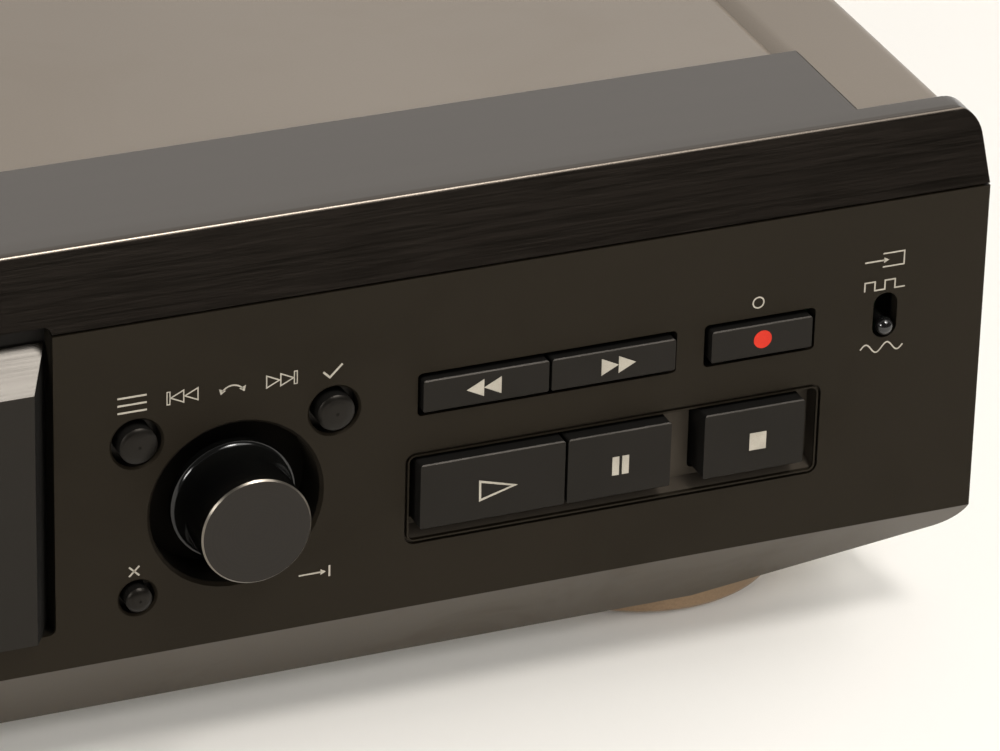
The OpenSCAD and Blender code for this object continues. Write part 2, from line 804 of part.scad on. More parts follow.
pad_out = foot_r * 0.72;
pad_in = foot_r * 0.28;
module foot_pads() {
  color([0.13, 0.12, 0.11])
    for (x = [-foot_x, foot_x])
      for (y = foot_y)
        translate([x, y, 0]) rotate_extrude()
          polygon([[pad_in, 0], [pad_out, 0], [pad_out, 1.8], [pad_in, 1.8]]);
}

// screw standing on z = 0 with its head above
module screw() {
  difference() {
    union() {
      cylinder(r1 = screw_head_r, r2 = screw_head_r * 0.8, h = screw_head_h);
      translate([0, 0, -7]) cylinder(r = screw_r, h = 7 + eps);
    }
    for (a = [0, 90])
      rotate([0, 0, a]) translate([0, 0, screw_head_h]) cube([0.9, 4, 2.2], center = true);
  }
}

module case_screws() {
  color([0.25, 0.25, 0.25]) {
    for (s = [-1, 1])
      for (y = side_screw_y)
        translate([s * cover_half, y, side_screw_z]) rotate([0, s * 90, 0]) screw();
    for (x = rear_screw_x)
      translate([x, rear_y + cover_t, rear_screw_z]) rotate([-90, 0, 0]) screw();
    for (x = [-foot_x, foot_x])
      for (y = foot_y)
        translate([x, y, foot_h - 5]) rotate([180, 0, 0]) screw();
  }
}

// ---- display bay ----

module bay_bezel() {
  ear_r = 2.6;
  color(trim_brown) difference() {
    union() {
      intersection() {
        along_x(bay_left, bay_right) polygon([
          [flange_y + eps, bay_low + 0.3], [bezel_y, bay_low + 0.3], [bezel_y, bend_z],
          [facet_y, facet_top], [flange_y + eps, facet_top]
        ]);
        linear_extrude(deck_h) polygon([
          [bay_x - bezel_half, flange_y + 1], [bay_x - bezel_half, facet_y],
          [bay_x - bezel_half + bezel_side, bezel_y], [bay_x + bezel_half - bezel_side, bezel_y],
          [bay_x + bezel_half, facet_y], [bay_x + bezel_half, flange_y + 1]
        ]);
        along_y(bezel_y - 1, flange_y + 1)
          soft_rect([bay_x - bezel_half, bay_low + 0.3], [bay_x + bezel_half, deck_h], 1.6);
      }
      block([bay_left - 2, flange_y, bay_low - 2], [bay_right + 2, flange_back, seam_z + fascia_t - 0.2]);
      // bosses of the display board
      for (s = [-1, 1])
        for (z = [bay_low + 2.5, eject_z])
          rod_along_y(2.2, bay_x + s * (display_board_half - 2.8), flange_back - eps, display_board_y, z);
      // ears of the flap's hinge
      for (s = [-1, 1])
        along_x(bay_x + s * (slot_w / 2 + 2.4) - 1.1, bay_x + s * (slot_w / 2 + 2.4) + 1.1)
          polygon([
            [flange_back - eps, flap_z - ear_r], [flap_y + ear_r, flap_z - ear_r],
            [flap_y + ear_r, flap_z + ear_r], [flange_back - eps, flap_z + ear_r]
          ]);
    }
    // disc slot
    block([bay_x - slot_w / 2, bezel_y - 1, slot_z - slot_h / 2],
      [bay_x + slot_w / 2, flange_back + 1, slot_z + slot_h / 2]);
    // window seat and the opening behind it
    along_y(bezel_y - 1, bezel_y + window_t + 0.5)
      soft_rect([bay_x - window_w / 2, window_z], [bay_x + window_w / 2, window_z + window_h], 1.2);
    block([bay_x - window_w / 2 + ledge, bezel_y, window_z + ledge],
      [bay_x + window_w / 2 - ledge, flange_back + 1, window_z + window_h - ledge]);
    along_y(bezel_y - 1, flange_back + 1)
      soft_rect([eject_x - eject_w / 2, eject_z - eject_h / 2],
        [eject_x + eject_w / 2, eject_z + eject_h / 2], 0.6);
    rod_along_x(flap_pin_r + run_gap, bay_x - slot_w, bay_x + slot_w, flap_y, flap_z);
  }
}

eject_x = bay_x + 48;
eject_z = (window_z + window_h + bend_z) / 2;
flap_pin_r = 0.8;
flap_y = flange_back + 1.6;
flap_z = slot_z + slot_h / 2 + 1.6;

module display_window() {
  color([0.10, 0.10, 0.12, 0.6]) along_y(bezel_y + 0.5, bezel_y + 0.5 + window_t)
    soft_rect([bay_x - window_w / 2 + 0.1, window_z + 0.1],
      [bay_x + window_w / 2 - 0.1, window_z + window_h - 0.1], 1.1);
}

// sprung door behind the disc slot, hung on two pins
module slot_flap() {
  half = slot_w / 2 - 0.6;
  top = flap_z + 1.2;
  color([0.16, 0.15, 0.14]) {
    block([bay_x - half, flap_y - 1.2, slot_z - slot_h / 2 - 0.6], [bay_x + half, flap_y, flap_z]);
    rod_along_x(1.2, bay_x - half, bay_x + half, flap_y, flap_z);
    rod_along_x(flap_pin_r, bay_x - slot_w / 2 - 3.4, bay_x + slot_w / 2 + 3.4, flap_y, flap_z);
  }
}

module eject_button() {
  g = slide_gap;
  color(key_black) {
    along_y(bezel_y - 0.9, flange_back + free_gap)
      soft_rect([eject_x - eject_w / 2 + g, eject_z - eject_h / 2 + g],
        [eject_x + eject_w / 2 - g, eject_z + eject_h / 2 - g], 0.5);
    block([eject_x - eject_w / 2 - 1, flange_back + slide_gap, eject_z - eject_h / 2 + g],
      [eject_x + eject_w / 2 + 1, flange_back + 0.8, eject_z + eject_h / 2 - g]);
  }
}

module display_tube() {
  half = window_w / 2 + 2;
  color([0.35, 0.40, 0.42, 0.7]) {
    block([bay_x - half, tube_y, window_z + 1], [bay_x + half, tube_y + tube_t, window_z + window_h - 1]);
    // exhaust tip
    rod_along_x(1.6, bay_x + half - eps, bay_x + half + 3, tube_y + 3, window_z + window_h / 2);
  }
}

module display_board() {
  color(board_green) {
    block([bay_x - display_board_half, display_board_y, bay_low - 1],
      [bay_x + display_board_half, display_board_y + board_t, eject_z + 3.5]);
    // eject switch
    block([eject_x - 3, flange_back + 3.1, eject_z - 3], [eject_x + 3, display_board_y + eps, eject_z + 3]);
    rod_along_y(1.5, eject_x, flange_back + 0.8 + key_travel + slide_gap, flange_back + 3.1 + eps, eject_z);
  }
}

// ---- knob ----

module jog_knob() {
  face_y = panel_y - knob_out;
  back = recess_back - 2.2;
  flare = skirt_r - knob_r;
  color([0.22, 0.19, 0.17]) difference() {
    turned(knob_x, knob_z, concat(
      [[0, face_y], [knob_r - 0.35, face_y], [knob_r, face_y + 0.35], [knob_r, panel_y - 2.4]],
      [for (i = [1:8]) [knob_r + flare * (1 - cos(i * 90 / 8)), panel_y - 2.4 + 3.7 * sin(i * 90 / 8)]],
      [[skirt_r, panel_y + 2.6], [skirt_r - 1.6, panel_y + 2.6], [skirt_r - 1.6, panel_y],
        [shaft_r + 2.2, panel_y], [shaft_r + 2.2, back], [0, back]]
    ));
    rod_along_y(shaft_r, knob_x, face_y + 6, back + 1, knob_z);
  }
}

encoder_floor = 0.6; // behind the encoder's bore
push_spare = 0.6; // left when the knob is pushed right in
collar_end = board_y - encoder_floor - push_spare - knob_push;

module encoder_shaft() {
  color("silver") rod_along_y(shaft_r, knob_x, panel_y - knob_out + 6, collar_end - 0.4, knob_z);
}

// sleeve that carries the shaft and passes the push on to the switch behind it
module encoder_collar() {
  color("gray") difference() {
    rod_along_y(collar_r, knob_x, recess_back - 1, collar_end, knob_z);
    rod_along_y(shaft_r + run_gap * 0.6, knob_x, recess_back - 2, board_y - 1, knob_z);
  }
}

module jog_encoder() {
  side = 7;
  color([0.30, 0.30, 0.32]) difference() {
    union() {
      block([knob_x - side, recess_back + 3.5, knob_z - side], [knob_x + side, board_y, knob_z + side]);
      rod_along_y(bushing_r, knob_x, recess_back - 0.8, recess_back + 3.5 + eps, knob_z);
    }
    rod_along_y(collar_r + run_gap, knob_x, recess_back - 2, board_y - encoder_floor, knob_z);
  }
}

// ---- keys ----

// round key: domed cap, flange behind the wall, stem to the switch
module round_key(x, z, r, out) {
  dome = 0.35;
  color(key_black) turned(x, z, [
    [0, panel_y - out], [r * 0.55, panel_y - out + dome * 0.25], [r - 0.35, panel_y - out + dome],
    [r, panel_y - out + dome + 0.35], [r, wall_y + 0.6], [r + round_gap + 0.9, wall_y + 0.6],
    [r + round_gap + 0.9, wall_y + 1.8], [1.5, wall_y + 1.8], [1.5, stem_y], [0, stem_y]
  ]);
}

// square-cut key: cap from x0 to x1, retaining lips above and below, gap to its hole
module bar_key(x0, x1, z0, z1, face, back, gap) {
  lip = gap + 0.9;
  stem = 1.8;
  x = (x0 + x1) / 2;
  z = (z0 + z1) / 2;
  color(key_black) {
    difference() {
      along_y(face, back + 1.8) soft_rect([x0, z0], [x1, z1], 0.5);
      // fine bevel on the cap's upper edge
      along_x(x0 - 1, x1 + 1) polygon([[face - 1, z1 + 1], [face - 1, z1 - key_bevel],
        [face, z1 - key_bevel], [face + key_bevel, z1], [face + key_bevel, z1 + 1]]);
      along_x(x0 - 1, x1 + 1) polygon([[face - 1, z0 - 1], [face - 1, z0 + key_bevel],
        [face, z0 + key_bevel], [face + key_bevel, z0], [face + key_bevel, z0 - 1]]);
    }
    block([x0 + 1, back + 0.6, z0 - lip], [x1 - 1, back + 1.8, z1 + lip]);
    block([x - stem, back + 1.8 - eps, z - stem], [x + stem, stem_y, z + stem]);
  }
}

module row_key(x0, x1) {
  bar_key(x0, x1, row_z + row_gap, row_top - row_gap, panel_y - row_out, wall_y, row_gap);
}

module deep_key(x, w) {
  bar_key(x - w / 2, x + w / 2, deep_z - deep_h / 2, deep_z + deep_h / 2, panel_y - key_out,
    pocket_floor + pocket_wall, key_gap);
}

module menu_button() {
  round_key(knob_x - round_dx, knob_z + round_up, round_r, round_out);
}

module yes_button() {
  round_key(knob_x + round_dx, knob_z + round_up, round_r, round_out);
}

module clear_button() {
  round_key(knob_x - round_dx, knob_z - small_down, small_r, round_out);
}

module rewind_button() {
  row_key(rewind_x[0], rewind_x[1]);
}

module forward_button() {
  row_key(forward_x[0], forward_x[1]);
}

module record_button() {
  row_key(record_x + row_gap, record_x + record_w - row_gap);
}

module play_button() {
  deep_key(play_x, play_w);
}

module pause_button() {
  deep_key(pause_x, pause_w);
}

module stop_button() {
  deep_key(stop_x, stop_w);
}

module power_button() {
  color(key_black) turned(power_x, power_z, [
    [0, panel_y - round_out + 0.5], [power_r * 0.6, panel_y - round_out + 0.25],
      [power_r - 0.5, panel_y - round_out],
    [power_r, panel_y - round_out + 0.5], [power_r, wall_y + 0.6], [power_r + 1.4, wall_y + 0.6],
    [power_r + 1.4, wall_y + 1.8], [1.8, wall_y + 1.8], [1.8, stem_y], [0, stem_y]
  ]);
}

module display_button() {
  bar_key(display_x - small_key_w / 2 + key_gap, display_x + small_key_w / 2 - key_gap,
    small_key_z + key_gap, small_key_z + small_key_h - key_gap, panel_y - 1.2, wall_y, key_gap);
}

module standby_lamp() {
  z = lamp_z;
  color([0.5, 0.12, 0.08]) turned(power_x, z, [[0, panel_y - 0.3], [lamp_r * 0.7, panel_y - 0.1],
    [lamp_r - run_gap, panel_y + 0.4], [lamp_r - run_gap, wall_y + run_gap], [lamp_r + 1, wall_y + run_gap],
    [lamp_r + 1, wall_y + 1.5], [lamp_r, wall_y + 1.5], [lamp_r, board_y], [0, board_y]]);
}

module ir_window() {
  g = 0.1;
  color([0.16, 0.05, 0.07]) {
    along_y(panel_y + 0.2, wall_y)
      soft_rect([ir_x - ir_w / 2 + g, power_z - ir_h / 2 + g],
        [ir_x + ir_w / 2 - g, power_z + ir_h / 2 - g], 0.7);
    block([ir_x - ir_w / 2 - 1.5, wall_y, power_z - ir_h / 2 - 1.5],
      [ir_x + ir_w / 2 + 1.5, wall_y + 1.2, power_z + ir_h / 2 + 1.5]);
  }
}

jack_half = 7.2; // half the width of the socket's body
jack_back = panel_y + phones_deep + 2; // rear of the socket's body
module phones_jack() {
  barrel = phones_r + 2.3;
  color(dark_part) difference() {
    union() {
      turned(phones_x, phones_z, [[0, panel_y - 0.8], [barrel - 0.4, panel_y - 0.8],
        [barrel, panel_y - 0.4],
        [barrel, wall_y + 2], [0, wall_y + 2]]);
      block([phones_x - jack_half, wall_y + 1.2, phones_z - jack_half],
        [phones_x + jack_half, jack_back, phones_z + jack_half]);
    }
    rod_along_y(phones_r, phones_x, panel_y - 2, panel_y - 0.8 + phones_deep, phones_z);
  }
}

module input_lever() {
  tip_y = panel_y + 0.2;
  color([0.45, 0.45, 0.45]) {
    turned(lever_x, lever_low, concat(
      [for (i = [0:6]) let (a = i * 24) [lever_ball * sin(a), tip_y - lever_ball * cos(a)]],
      [[1, tip_y + lever_ball], [1, board_y - 6.4], [0, board_y - 6.4]]
    ));
    block([lever_x - 2.2, board_y - 6.5, lever_low - 1.8], [lever_x + 2.2, board_y - 2, lever_low + 1.8]);
  }
}

module input_switch() {
  g = slide_gap;
  low = lever_low - 1.8 - g;
  high = lever_low + lever_travel + 1.8 + g;
  color([0.55, 0.55, 0.52]) difference() {
    block([lever_x - 4.2, board_y - 6.2, low - 2], [lever_x + 4.2, board_y, high + 2]);
    block([lever_x - 2.2 - g, board_y - 8, low], [lever_x + 2.2 + g, board_y - 2 + g, high]);
  }
}

// ---- boards behind the keys ----

module key_board(span) {
  block([span[0], board_y, board_low], [span[1], board_y + board_t, board_high]);
}

module front_board() {
  color(board_green) key_board(front_board_x);
}

module left_board() {
  color(board_green) difference() {
    key_board(left_board_x);
    block([phones_x - jack_half - slide_gap, board_y - 1, phones_z - jack_half - slide_gap],
      [phones_x + jack_half + slide_gap, board_y + board_t + 1, phones_z + jack_half + slide_gap]);
  }
}

key_places = [
  [knob_x - round_dx, knob_z + round_up], [knob_x + round_dx, knob_z + round_up],
  [knob_x - round_dx, knob_z - small_down],
  [(rewind_x[0] + rewind_x[1]) / 2, (row_z + row_top) / 2],
  [(forward_x[0] + forward_x[1]) / 2, (row_z + row_top) / 2],
  [record_x + record_w / 2, (row_z + row_top) / 2],
  [play_x, deep_z], [pause_x, deep_z], [stop_x, deep_z], [power_x, power_z],
  [display_x, small_key_z + small_key_h / 2]
];

module tact_switches() {
  color([0.2, 0.2, 0.22])
    for (p = key_places) {
      block([p[0] - 3, board_y - 4.3, p[1] - 3], [p[0] + 3, board_y, p[1] + 3]);
      rod_along_y(1.75, p[0], plunger_y, board_y - 4.3 + eps, p[1]);
    }
}

// ---- back ----

module phono_sockets() {
  tip = rear_y + socket_out;
  inside = rear_y - sheet_t;
  color([0.75, 0.72, 0.62]) {
    block([phono_x - 9, inside - 14, low_board_z + board_t],
      [phono_x + phono_dx + 9, inside, phono_z + phono_dz + 9]);
    phono_places() turned(0, 0, [
      [1.6, inside + 1], [1.6, tip - 0.6], [2.9, tip - 0.6], [2.9, rear_y + 3], [phono_r - 0.5, rear_y + 3],
      [phono_r - 0.5, tip], [phono_r, tip], [phono_r, rear_y + 2], [phono_r + 1.1, rear_y + 2],
      [phono_r + 1.1, inside - eps], [0, inside - eps], [0, inside + 1]
    ]);
  }
}

module optical_sockets() {
  color([0.10, 0.10, 0.10]) optical_places() difference() {
    block([-4.8, rear_y - 16, -optical_half], [4.8, rear_y + 2.5, optical_half]);
    block([-3.2, rear_y - 4, -3.2], [3.2, rear_y + 3, 3.2]);
  }
}

module mains_inlet() {
  pin_gap = 4.3;
  color([0.06, 0.06, 0.06]) translate([inlet_x, 0, inlet_z]) {
    difference() {
      block([-10.8, rear_y - 18, -6.8], [10.8, rear_y + 1, 6.8]);
      along_y(rear_y - 12, rear_y + 2) soft_rect([-7.9, -3.9], [7.9, 3.9], 3.8);
    }
    for (s = [-1, 1])
      rod_along_y(1.2, s * pin_gap, rear_y - 12 - eps, rear_y - 2, 0);
  }
}

// ---- power and main boards ----

board_rise = 12;
chip_w = 24; // side of the largest package
chip_h = 2.6;
low_board_z = floor_z + board_rise;
main_x = [board_end - main_w, board_end];
main_y = [panel_y + main_front, rear_y - 4];
power_board_x = [-board_end, power_board_w - board_end];
power_board_y = [panel_y + power_board_front, rear_y - power_board_rear];
core_x = -board_end + 9 + core_w / 2;
core_y = panel_y + core_front;
board_posts = [
  for (x = [main_x[0] + 5, main_x[1] - 5]) for (y = [main_y[0] + 5, main_y[1] - 5]) [x, y],
  for (x = [power_board_x[0] + 5, power_board_x[1] - 5])
    for (y = [power_board_y[0] + 5, power_board_y[1] - 5]) [x, y]
];

module main_board() {
  top = low_board_z + board_t;
  color(board_green) {
    block([main_x[0], main_y[0], low_board_z], [main_x[1], main_y[1], top]);
    // packages in three columns and four rows
    for (i = [0:2])
      for (j = [0:3])
        translate([main_x[0] + main_w * (0.2 + 0.3 * i), main_y[0] + main_w * (0.2 + 0.32 * j),
          top + chip_h / 2 - eps])
          cube([chip_w - 5 * ((i + j) % 3), chip_w - 6 * (i % 2), chip_h], center = true);
  }
}

module power_board() {
  color([0.45, 0.32, 0.14])
    block([power_board_x[0], power_board_y[0], low_board_z],
      [power_board_x[1], power_board_y[1], low_board_z + board_t]);
}

module capacitors() {
  color([0.10, 0.12, 0.30])
    for (i = [0:2])
      for (j = [0, 1]) {
        small = i < 2 ? 1 : 0.6;
        translate([power_board_x[0] + can_r * (2 + 2.6 * i), power_board_y[0] + can_r * (4 + 2.8 * j),
          low_board_z + board_t])
          cylinder(r = can_r * small, h = can_h * (j > 0 ? 0.7 : 1) * small);
      }
}

module heatsink() {
  plate = 2.5;
  fin = 9;
  fin_t = 1.6;
  fins = 7;
  color([0.6, 0.6, 0.6])
    translate([power_board_x[1] - plate - fin - 2.5, power_board_y[0] + power_board_rear,
      low_board_z + board_t]) {
      cube([plate, sink_len, sink_h]);
      for (i = [0:fins - 1])
        translate([plate - eps, i * (sink_len - fin_t) / (fins - 1), 0]) cube([fin, fin_t, sink_h]);
    }
}

module transformer() {
  foot_t = 2;
  side = 3; // how far the foot stands out
  yoke = 9; // iron above and below the winding
  half = core_w / 2 - side;
  color([0.35, 0.30, 0.25]) {
    // iron core with its bobbin and foot plate
    block([core_x - core_w / 2, core_y - core_d / 2, floor_z],
      [core_x + core_w / 2, core_y + core_d / 2, floor_z + foot_t]);
    block([core_x - half, core_y - core_d * 0.22, floor_z + foot_t - eps],
      [core_x + half, core_y + core_d * 0.22, floor_z + core_h]);
    block([core_x - half + yoke, core_y - core_d / 2 + side, floor_z + yoke],
      [core_x + half - yoke, core_y + core_d / 2 - side, floor_z + core_h - yoke]);
  }
}

// ---- disc mechanism ----

module mech_bracket() {
  wall = 40;
  y0 = mech_y + 8;
  y1 = mech_y + mech_len - 8;
  top = plate_z - damper_h;
  color(zinc) difference() {
    union() {
      block([bay_x - wall - sheet_t, y0, floor_z], [bay_x + wall + sheet_t, y1, floor_z + sheet_t]);
      for (s = [-1, 1]) {
        translate([bay_x + s * (wall + sheet_t / 2), (y0 + y1) / 2, (floor_z + top) / 2])
          cube([sheet_t, y1 - y0, top - floor_z], center = true);
        translate([bay_x + s * (wall - 1), (y0 + y1) / 2, top - sheet_t / 2])
          cube([12, y1 - y0, sheet_t], center = true);
      }
    }
    for (i = [0:2])
      block([bay_x - wall - 3, y0 + 10 + i * 25, floor_z + 10],
        [bay_x + wall + 3, y0 + 28 + i * 25, top - 10]);
  }
}

damper_h = 6;
damper_in = 16; // from the ends of the mechanism
damper_x = 39;
module mech_dampers() {
  color([0.12, 0.12, 0.12])
    for (s = [-1, 1])
      for (y = [mech_y + damper_in, mech_y + mech_len - damper_in])
        translate([bay_x + s * damper_x, y, plate_z - damper_h]) rotate_extrude()
          polygon([[0, 0], [4.5, 0], [4.5, 2], [3.4, 3], [4.5, 4], [4.5, damper_h], [0, damper_h]]);
}

rail_front = 20; // slider rail, from the frame's front end
rail_back = 72;
rail_short = 16; // the inner rail's length
rail_t = 1.5;
rail_h = 4;
module mech_frame() {
  top = slot_z + 5.4;
  inner = frame_half - wall_t;
  color([0.62, 0.62, 0.60]) difference() {
    union() {
      block([bay_x - frame_half, mech_y, plate_z], [bay_x + frame_half, mech_y + mech_len, deck_top]);
      for (s = [-1, 1])
        translate([bay_x + s * (frame_half - wall_t / 2), mech_y + mech_len / 2, (deck_top + top) / 2])
          cube([wall_t, mech_len, top - deck_top + 2 * eps], center = true);
      // hook over the loading slider
      block([slider_x - 1, mech_y + 30, slider_top + slide_gap],
        [bay_x + inner + eps, mech_y + 38, slider_top + slide_gap + 1.2]);
      block([bay_x + inner, mech_y + 30, top - eps],
        [bay_x + frame_half, mech_y + 38, slider_top + slide_gap + 1.2]);
      // rails on both sides of the slider's lower edge
      block([slider_x + slider_t + slide_gap, mech_y + rail_front, deck_top - eps],
        [slider_x + slider_t + slide_gap + rail_t, mech_y + rail_back, deck_top + rail_h]);
      block([slider_x - slide_gap - rail_t, mech_y + rail_back - rail_short - 4, deck_top - eps],
        [slider_x - slide_gap, mech_y + rail_back - 4, deck_top + rail_h]);
      // gear post with its shoulder
      translate([gear_x, gear_y, deck_top - eps]) cylinder(r = 1.5, h = gear_h + 3);
      translate([gear_x, gear_y, deck_top - eps]) cylinder(r = 2.8, h = gear_z - deck_top + eps);
      // blocks that hold the guide rods
      for (s = [-1, 1])
        for (y = [disc_y + 4, rod_end - 4])
          block([bay_x + s * rod_x - 2.6, y, deck_top - eps],
            [bay_x + s * rod_x + 2.6, y + 4, rod_z + 2.6]);
      // bearings of the lead screw
      for (y = [screw_front - 3, screw_back])
        block([screw_x - 2.6, y, deck_top - eps], [screw_x + 2.6, y + 3, rod_z + 2.6]);
    }
    // window under the pickup
    block([bay_x - 11, disc_y + 12, plate_z - 1], [bay_x + 11, rod_end - 6, deck_top + 1]);
    for (s = [-1, 1])
      rod_along_y(rod_r, bay_x + s * rod_x, disc_y + 5, rod_end, rod_z);
    rod_along_y(spindle_r + run_gap, screw_x, screw_front - 5, screw_back + 5, rod_z);
    // upright slots for the holder's pins
    for (y = [pin_front, pin_rear])
      block([bay_x - frame_half - 1, y - pin_r - slide_gap, slot_z - holder_drop - pin_r - slide_gap],
        [bay_x + frame_half + 1, y + pin_r + slide_gap, slot_z + pin_r + slide_gap]);
    translate([pinion_x, gear_y, plate_z - 1]) cylinder(r = 1.6, h = plate_t + 2);
  }
}

rod_end = mech_y + mech_len - 6;
screw_front = lens_y - 1.5;
screw_ends = 27.5; // screw beyond the sled's travel
screw_back = screw_front + sled_travel + screw_ends;
slider_top = slot_z + 6.2;

// sheet channel that takes the cartridge, open at the front, with guide pins at its sides
module cartridge_holder() {
  low = slot_z - holder_in / 2;
  high = slot_z + holder_in / 2;
  outer = holder_half + holder_t;
  color([0.70, 0.70, 0.68]) {
    difference() {
      block([bay_x - outer, holder_y, low - holder_t],
        [bay_x + outer, holder_y + holder_len, high + holder_t]);
      block([bay_x - holder_half, holder_y - 1, low],
        [bay_x + holder_half, holder_y + holder_len + 1, high]);
      block([bay_x - holder_half + 7, holder_y - 1, low - 2],
        [bay_x + holder_half - 7, holder_y + holder_len + 1, low + 1]);
      // way in for the recording head
      block([bay_x - 9, disc_y + 6, high - 1], [bay_x + 9, holder_y + holder_len + 1, high + 2]);
    }
    for (y = [pin_front, pin_rear])
      for (s = [-1, 1])
        rod_along_x(pin_r, bay_x + (s > 0 ? outer - eps : -frame_half - 0.2),
          bay_x + (s > 0 ? frame_half + 0.2 : -outer + eps), y, slot_z);
  }
}

// slanted slot: two round ends and a slanted band
module ramp_slot(y) {
  r = pin_r + slide_gap;
  angle = atan2(holder_drop, load_travel);
  n = r * [sin(angle), cos(angle)];
  translate([y, slot_z]) circle(r);
  translate([y + load_travel, slot_z - holder_drop]) circle(r);
  polygon([[y + n[0], slot_z + n[1]], [y + load_travel + n[0], slot_z - holder_drop + n[1]],
    [y + load_travel - n[0], slot_z - holder_drop - n[1]], [y - n[0], slot_z - n[1]]]);
}

rack_pitch = PI * gear_m;
rack_teeth = 14;

module loading_slider() {
  rim = pin_r + slide_gap + 2.6;
  y0 = pin_front - rim;
  y1 = pin_rear + load_travel + rim;
  color([0.85, 0.85, 0.82]) {
    difference() {
      block([slider_x, y0, slider_low], [slider_x + slider_t, y1, slider_top]);
      along_x(slider_x - 1, slider_x + slider_t + 1)
        for (y = [pin_front, pin_rear]) ramp_slot(y);
    }
    // rack on the lower edge, teeth towards the gear
    translate([0, 0, gear_z]) linear_extrude(gear_h) {
      translate([rack_x + 1.2 * gear_m, gear_y - 4 * rack_pitch])
        square([slider_x + eps - rack_x - 1.2 * gear_m, rack_pitch * rack_teeth]);
      for (k = [0:rack_teeth - 1])
        translate([rack_x, gear_y + (k - 3.5) * rack_pitch]) rack_tooth();
    }
  }
}

backlash = 0.06; // taken off each flank
tooth_up = 0.8; // addendum in modules
tooth_down = 1.1; // dedendum in modules

module rack_tooth() {
  half = rack_pitch / 4 - backlash;
  slope = tan(20);
  up = tooth_up * gear_m;
  down = tooth_down * gear_m + 0.2;
  polygon([[-up, half - slope * up], [-up, -half + slope * up],
    [down, -half - slope * down], [down, half + slope * down]]);
}

// half angle of a tooth at radius r, from the involute of its base circle
function tooth_half(r, base, pitch_half) =
  let (a = acos(min(1, base / r)))
  pitch_half + (tan(20) * 180 / PI - 20) - (tan(a) * 180 / PI - a);

module gear_outline(teeth) {
  pitch_r = gear_m * teeth / 2;
  base = pitch_r * cos(20);
  tip = pitch_r + tooth_up * gear_m;
  root = pitch_r - tooth_down * gear_m;
  pitch_half = 90 / teeth - backlash / pitch_r * 180 / PI;
  radii = [for (i = [0:4]) max(base, root) + (tip - max(base, root)) * i / 4];
  polygon([
    for (k = [0:teeth - 1])
      let (mid = k * 360 / teeth)
      for (p = concat(
          [[root, -tooth_half(radii[0], base, pitch_half) - 0.5]],
          [for (r = radii) [r, -tooth_half(r, base, pitch_half)]],
          [for (i = [4:-1:0]) [radii[i], tooth_half(radii[i], base, pitch_half)]],
          [[root, tooth_half(radii[0], base, pitch_half) + 0.5]]))
        p[0] * [cos(mid + p[1]), sin(mid + p[1])]
  ]);
}

module loading_gear() {
  color([0.9, 0.9, 0.85]) translate([gear_x, gear_y, gear_z]) difference() {
    linear_extrude(gear_h) gear_outline(gear_teeth);
    translate([0, 0, -1]) cylinder(r = 1.5 + run_gap, h = gear_h + 2);
  }
}

module loading_pinion() {
  color([0.8, 0.75, 0.5]) translate([pinion_x, gear_y, 0]) {
    translate([0, 0, gear_z]) linear_extrude(gear_h) rotate(180 / pinion_teeth) gear_outline(pinion_teeth);
    translate([0, 0, plate_z - 5]) cylinder(r = spindle_r, h = gear_z - plate_z + 5 + eps);
  }
}

module loading_motor() {
  color([0.5, 0.5, 0.52]) translate([pinion_x, gear_y, plate_z - 14]) difference() {
    cylinder(r = 6, h = 14);
    translate([0, 0, 8.5]) cylinder(r = spindle_r + run_gap, h = 6);
  }
}

motor_h = 8;
module spindle_motor() {
  color([0.5, 0.5, 0.52]) translate([bay_x, disc_y, deck_top]) difference() {
    cylinder(r = 10.8, h = motor_h);
    translate([0, 0, 1]) cylinder(r = spindle_r + run_gap, h = motor_h);
  }
}

module turntable() {
  color([0.75, 0.75, 0.72]) translate([bay_x, disc_y, deck_top]) {
    translate([0, 0, 1.5]) cylinder(r = spindle_r, h = motor_h);
    translate([0, 0, motor_h + 0.3]) cylinder(r = 9, h = 1.5);
    translate([0, 0, motor_h + 1.7]) cylinder(r1 = 5.4, r2 = 4.4, h = 2.2);
  }
}

// optical pickup: sled on the rods, lens, nut arm and the uprights of the recording head
sled_front = 3; // in front of the lens
sled_back = 22; // behind the lens
sled_half = 17.5;
sled_high = 7;
module pickup_sled() {
  front = lens_y - sled_front;
  back = lens_y + sled_back;
  top = deck_top + sled_high;
  color([0.25, 0.25, 0.27]) difference() {
    union() {
      block([bay_x - sled_half, front, deck_top + 2], [bay_x + sled_half, back, top]);
      translate([bay_x, lens_y, top - eps]) cylinder(r = 2.6, h = 2);
      block([bay_x + sled_half - 0.5, front + 8, deck_top + 2.5], [screw_x + 3.4, front + 14, top - 0.5]);
      for (s = [-1, 1])
        block([bay_x + s * 5.6 - 1.1, back - 2, top - eps],
          [bay_x + s * 5.6 + 1.1, back + 2.4, hinge_z + 2.2]);
      block([bay_x - 6.7, back - 2, deck_top + 2], [bay_x + 6.7, back + 2.4, top]);
    }
    for (s = [-1, 1])
      rod_along_y(rod_r + run_gap, bay_x + s * rod_x, front - 1, back + 1, rod_z);
    rod_along_y(lead_r + free_gap, screw_x, front + 7, front + 15, rod_z);
    rod_along_x(spindle_r + run_gap, bay_x - 8, bay_x + 8, hinge_y, hinge_z);
  }
}

module guide_rods() {
  color("silver")
    for (s = [-1, 1])
      rod_along_y(rod_r, bay_x + s * rod_x, disc_y + 5, rod_end, rod_z);
}

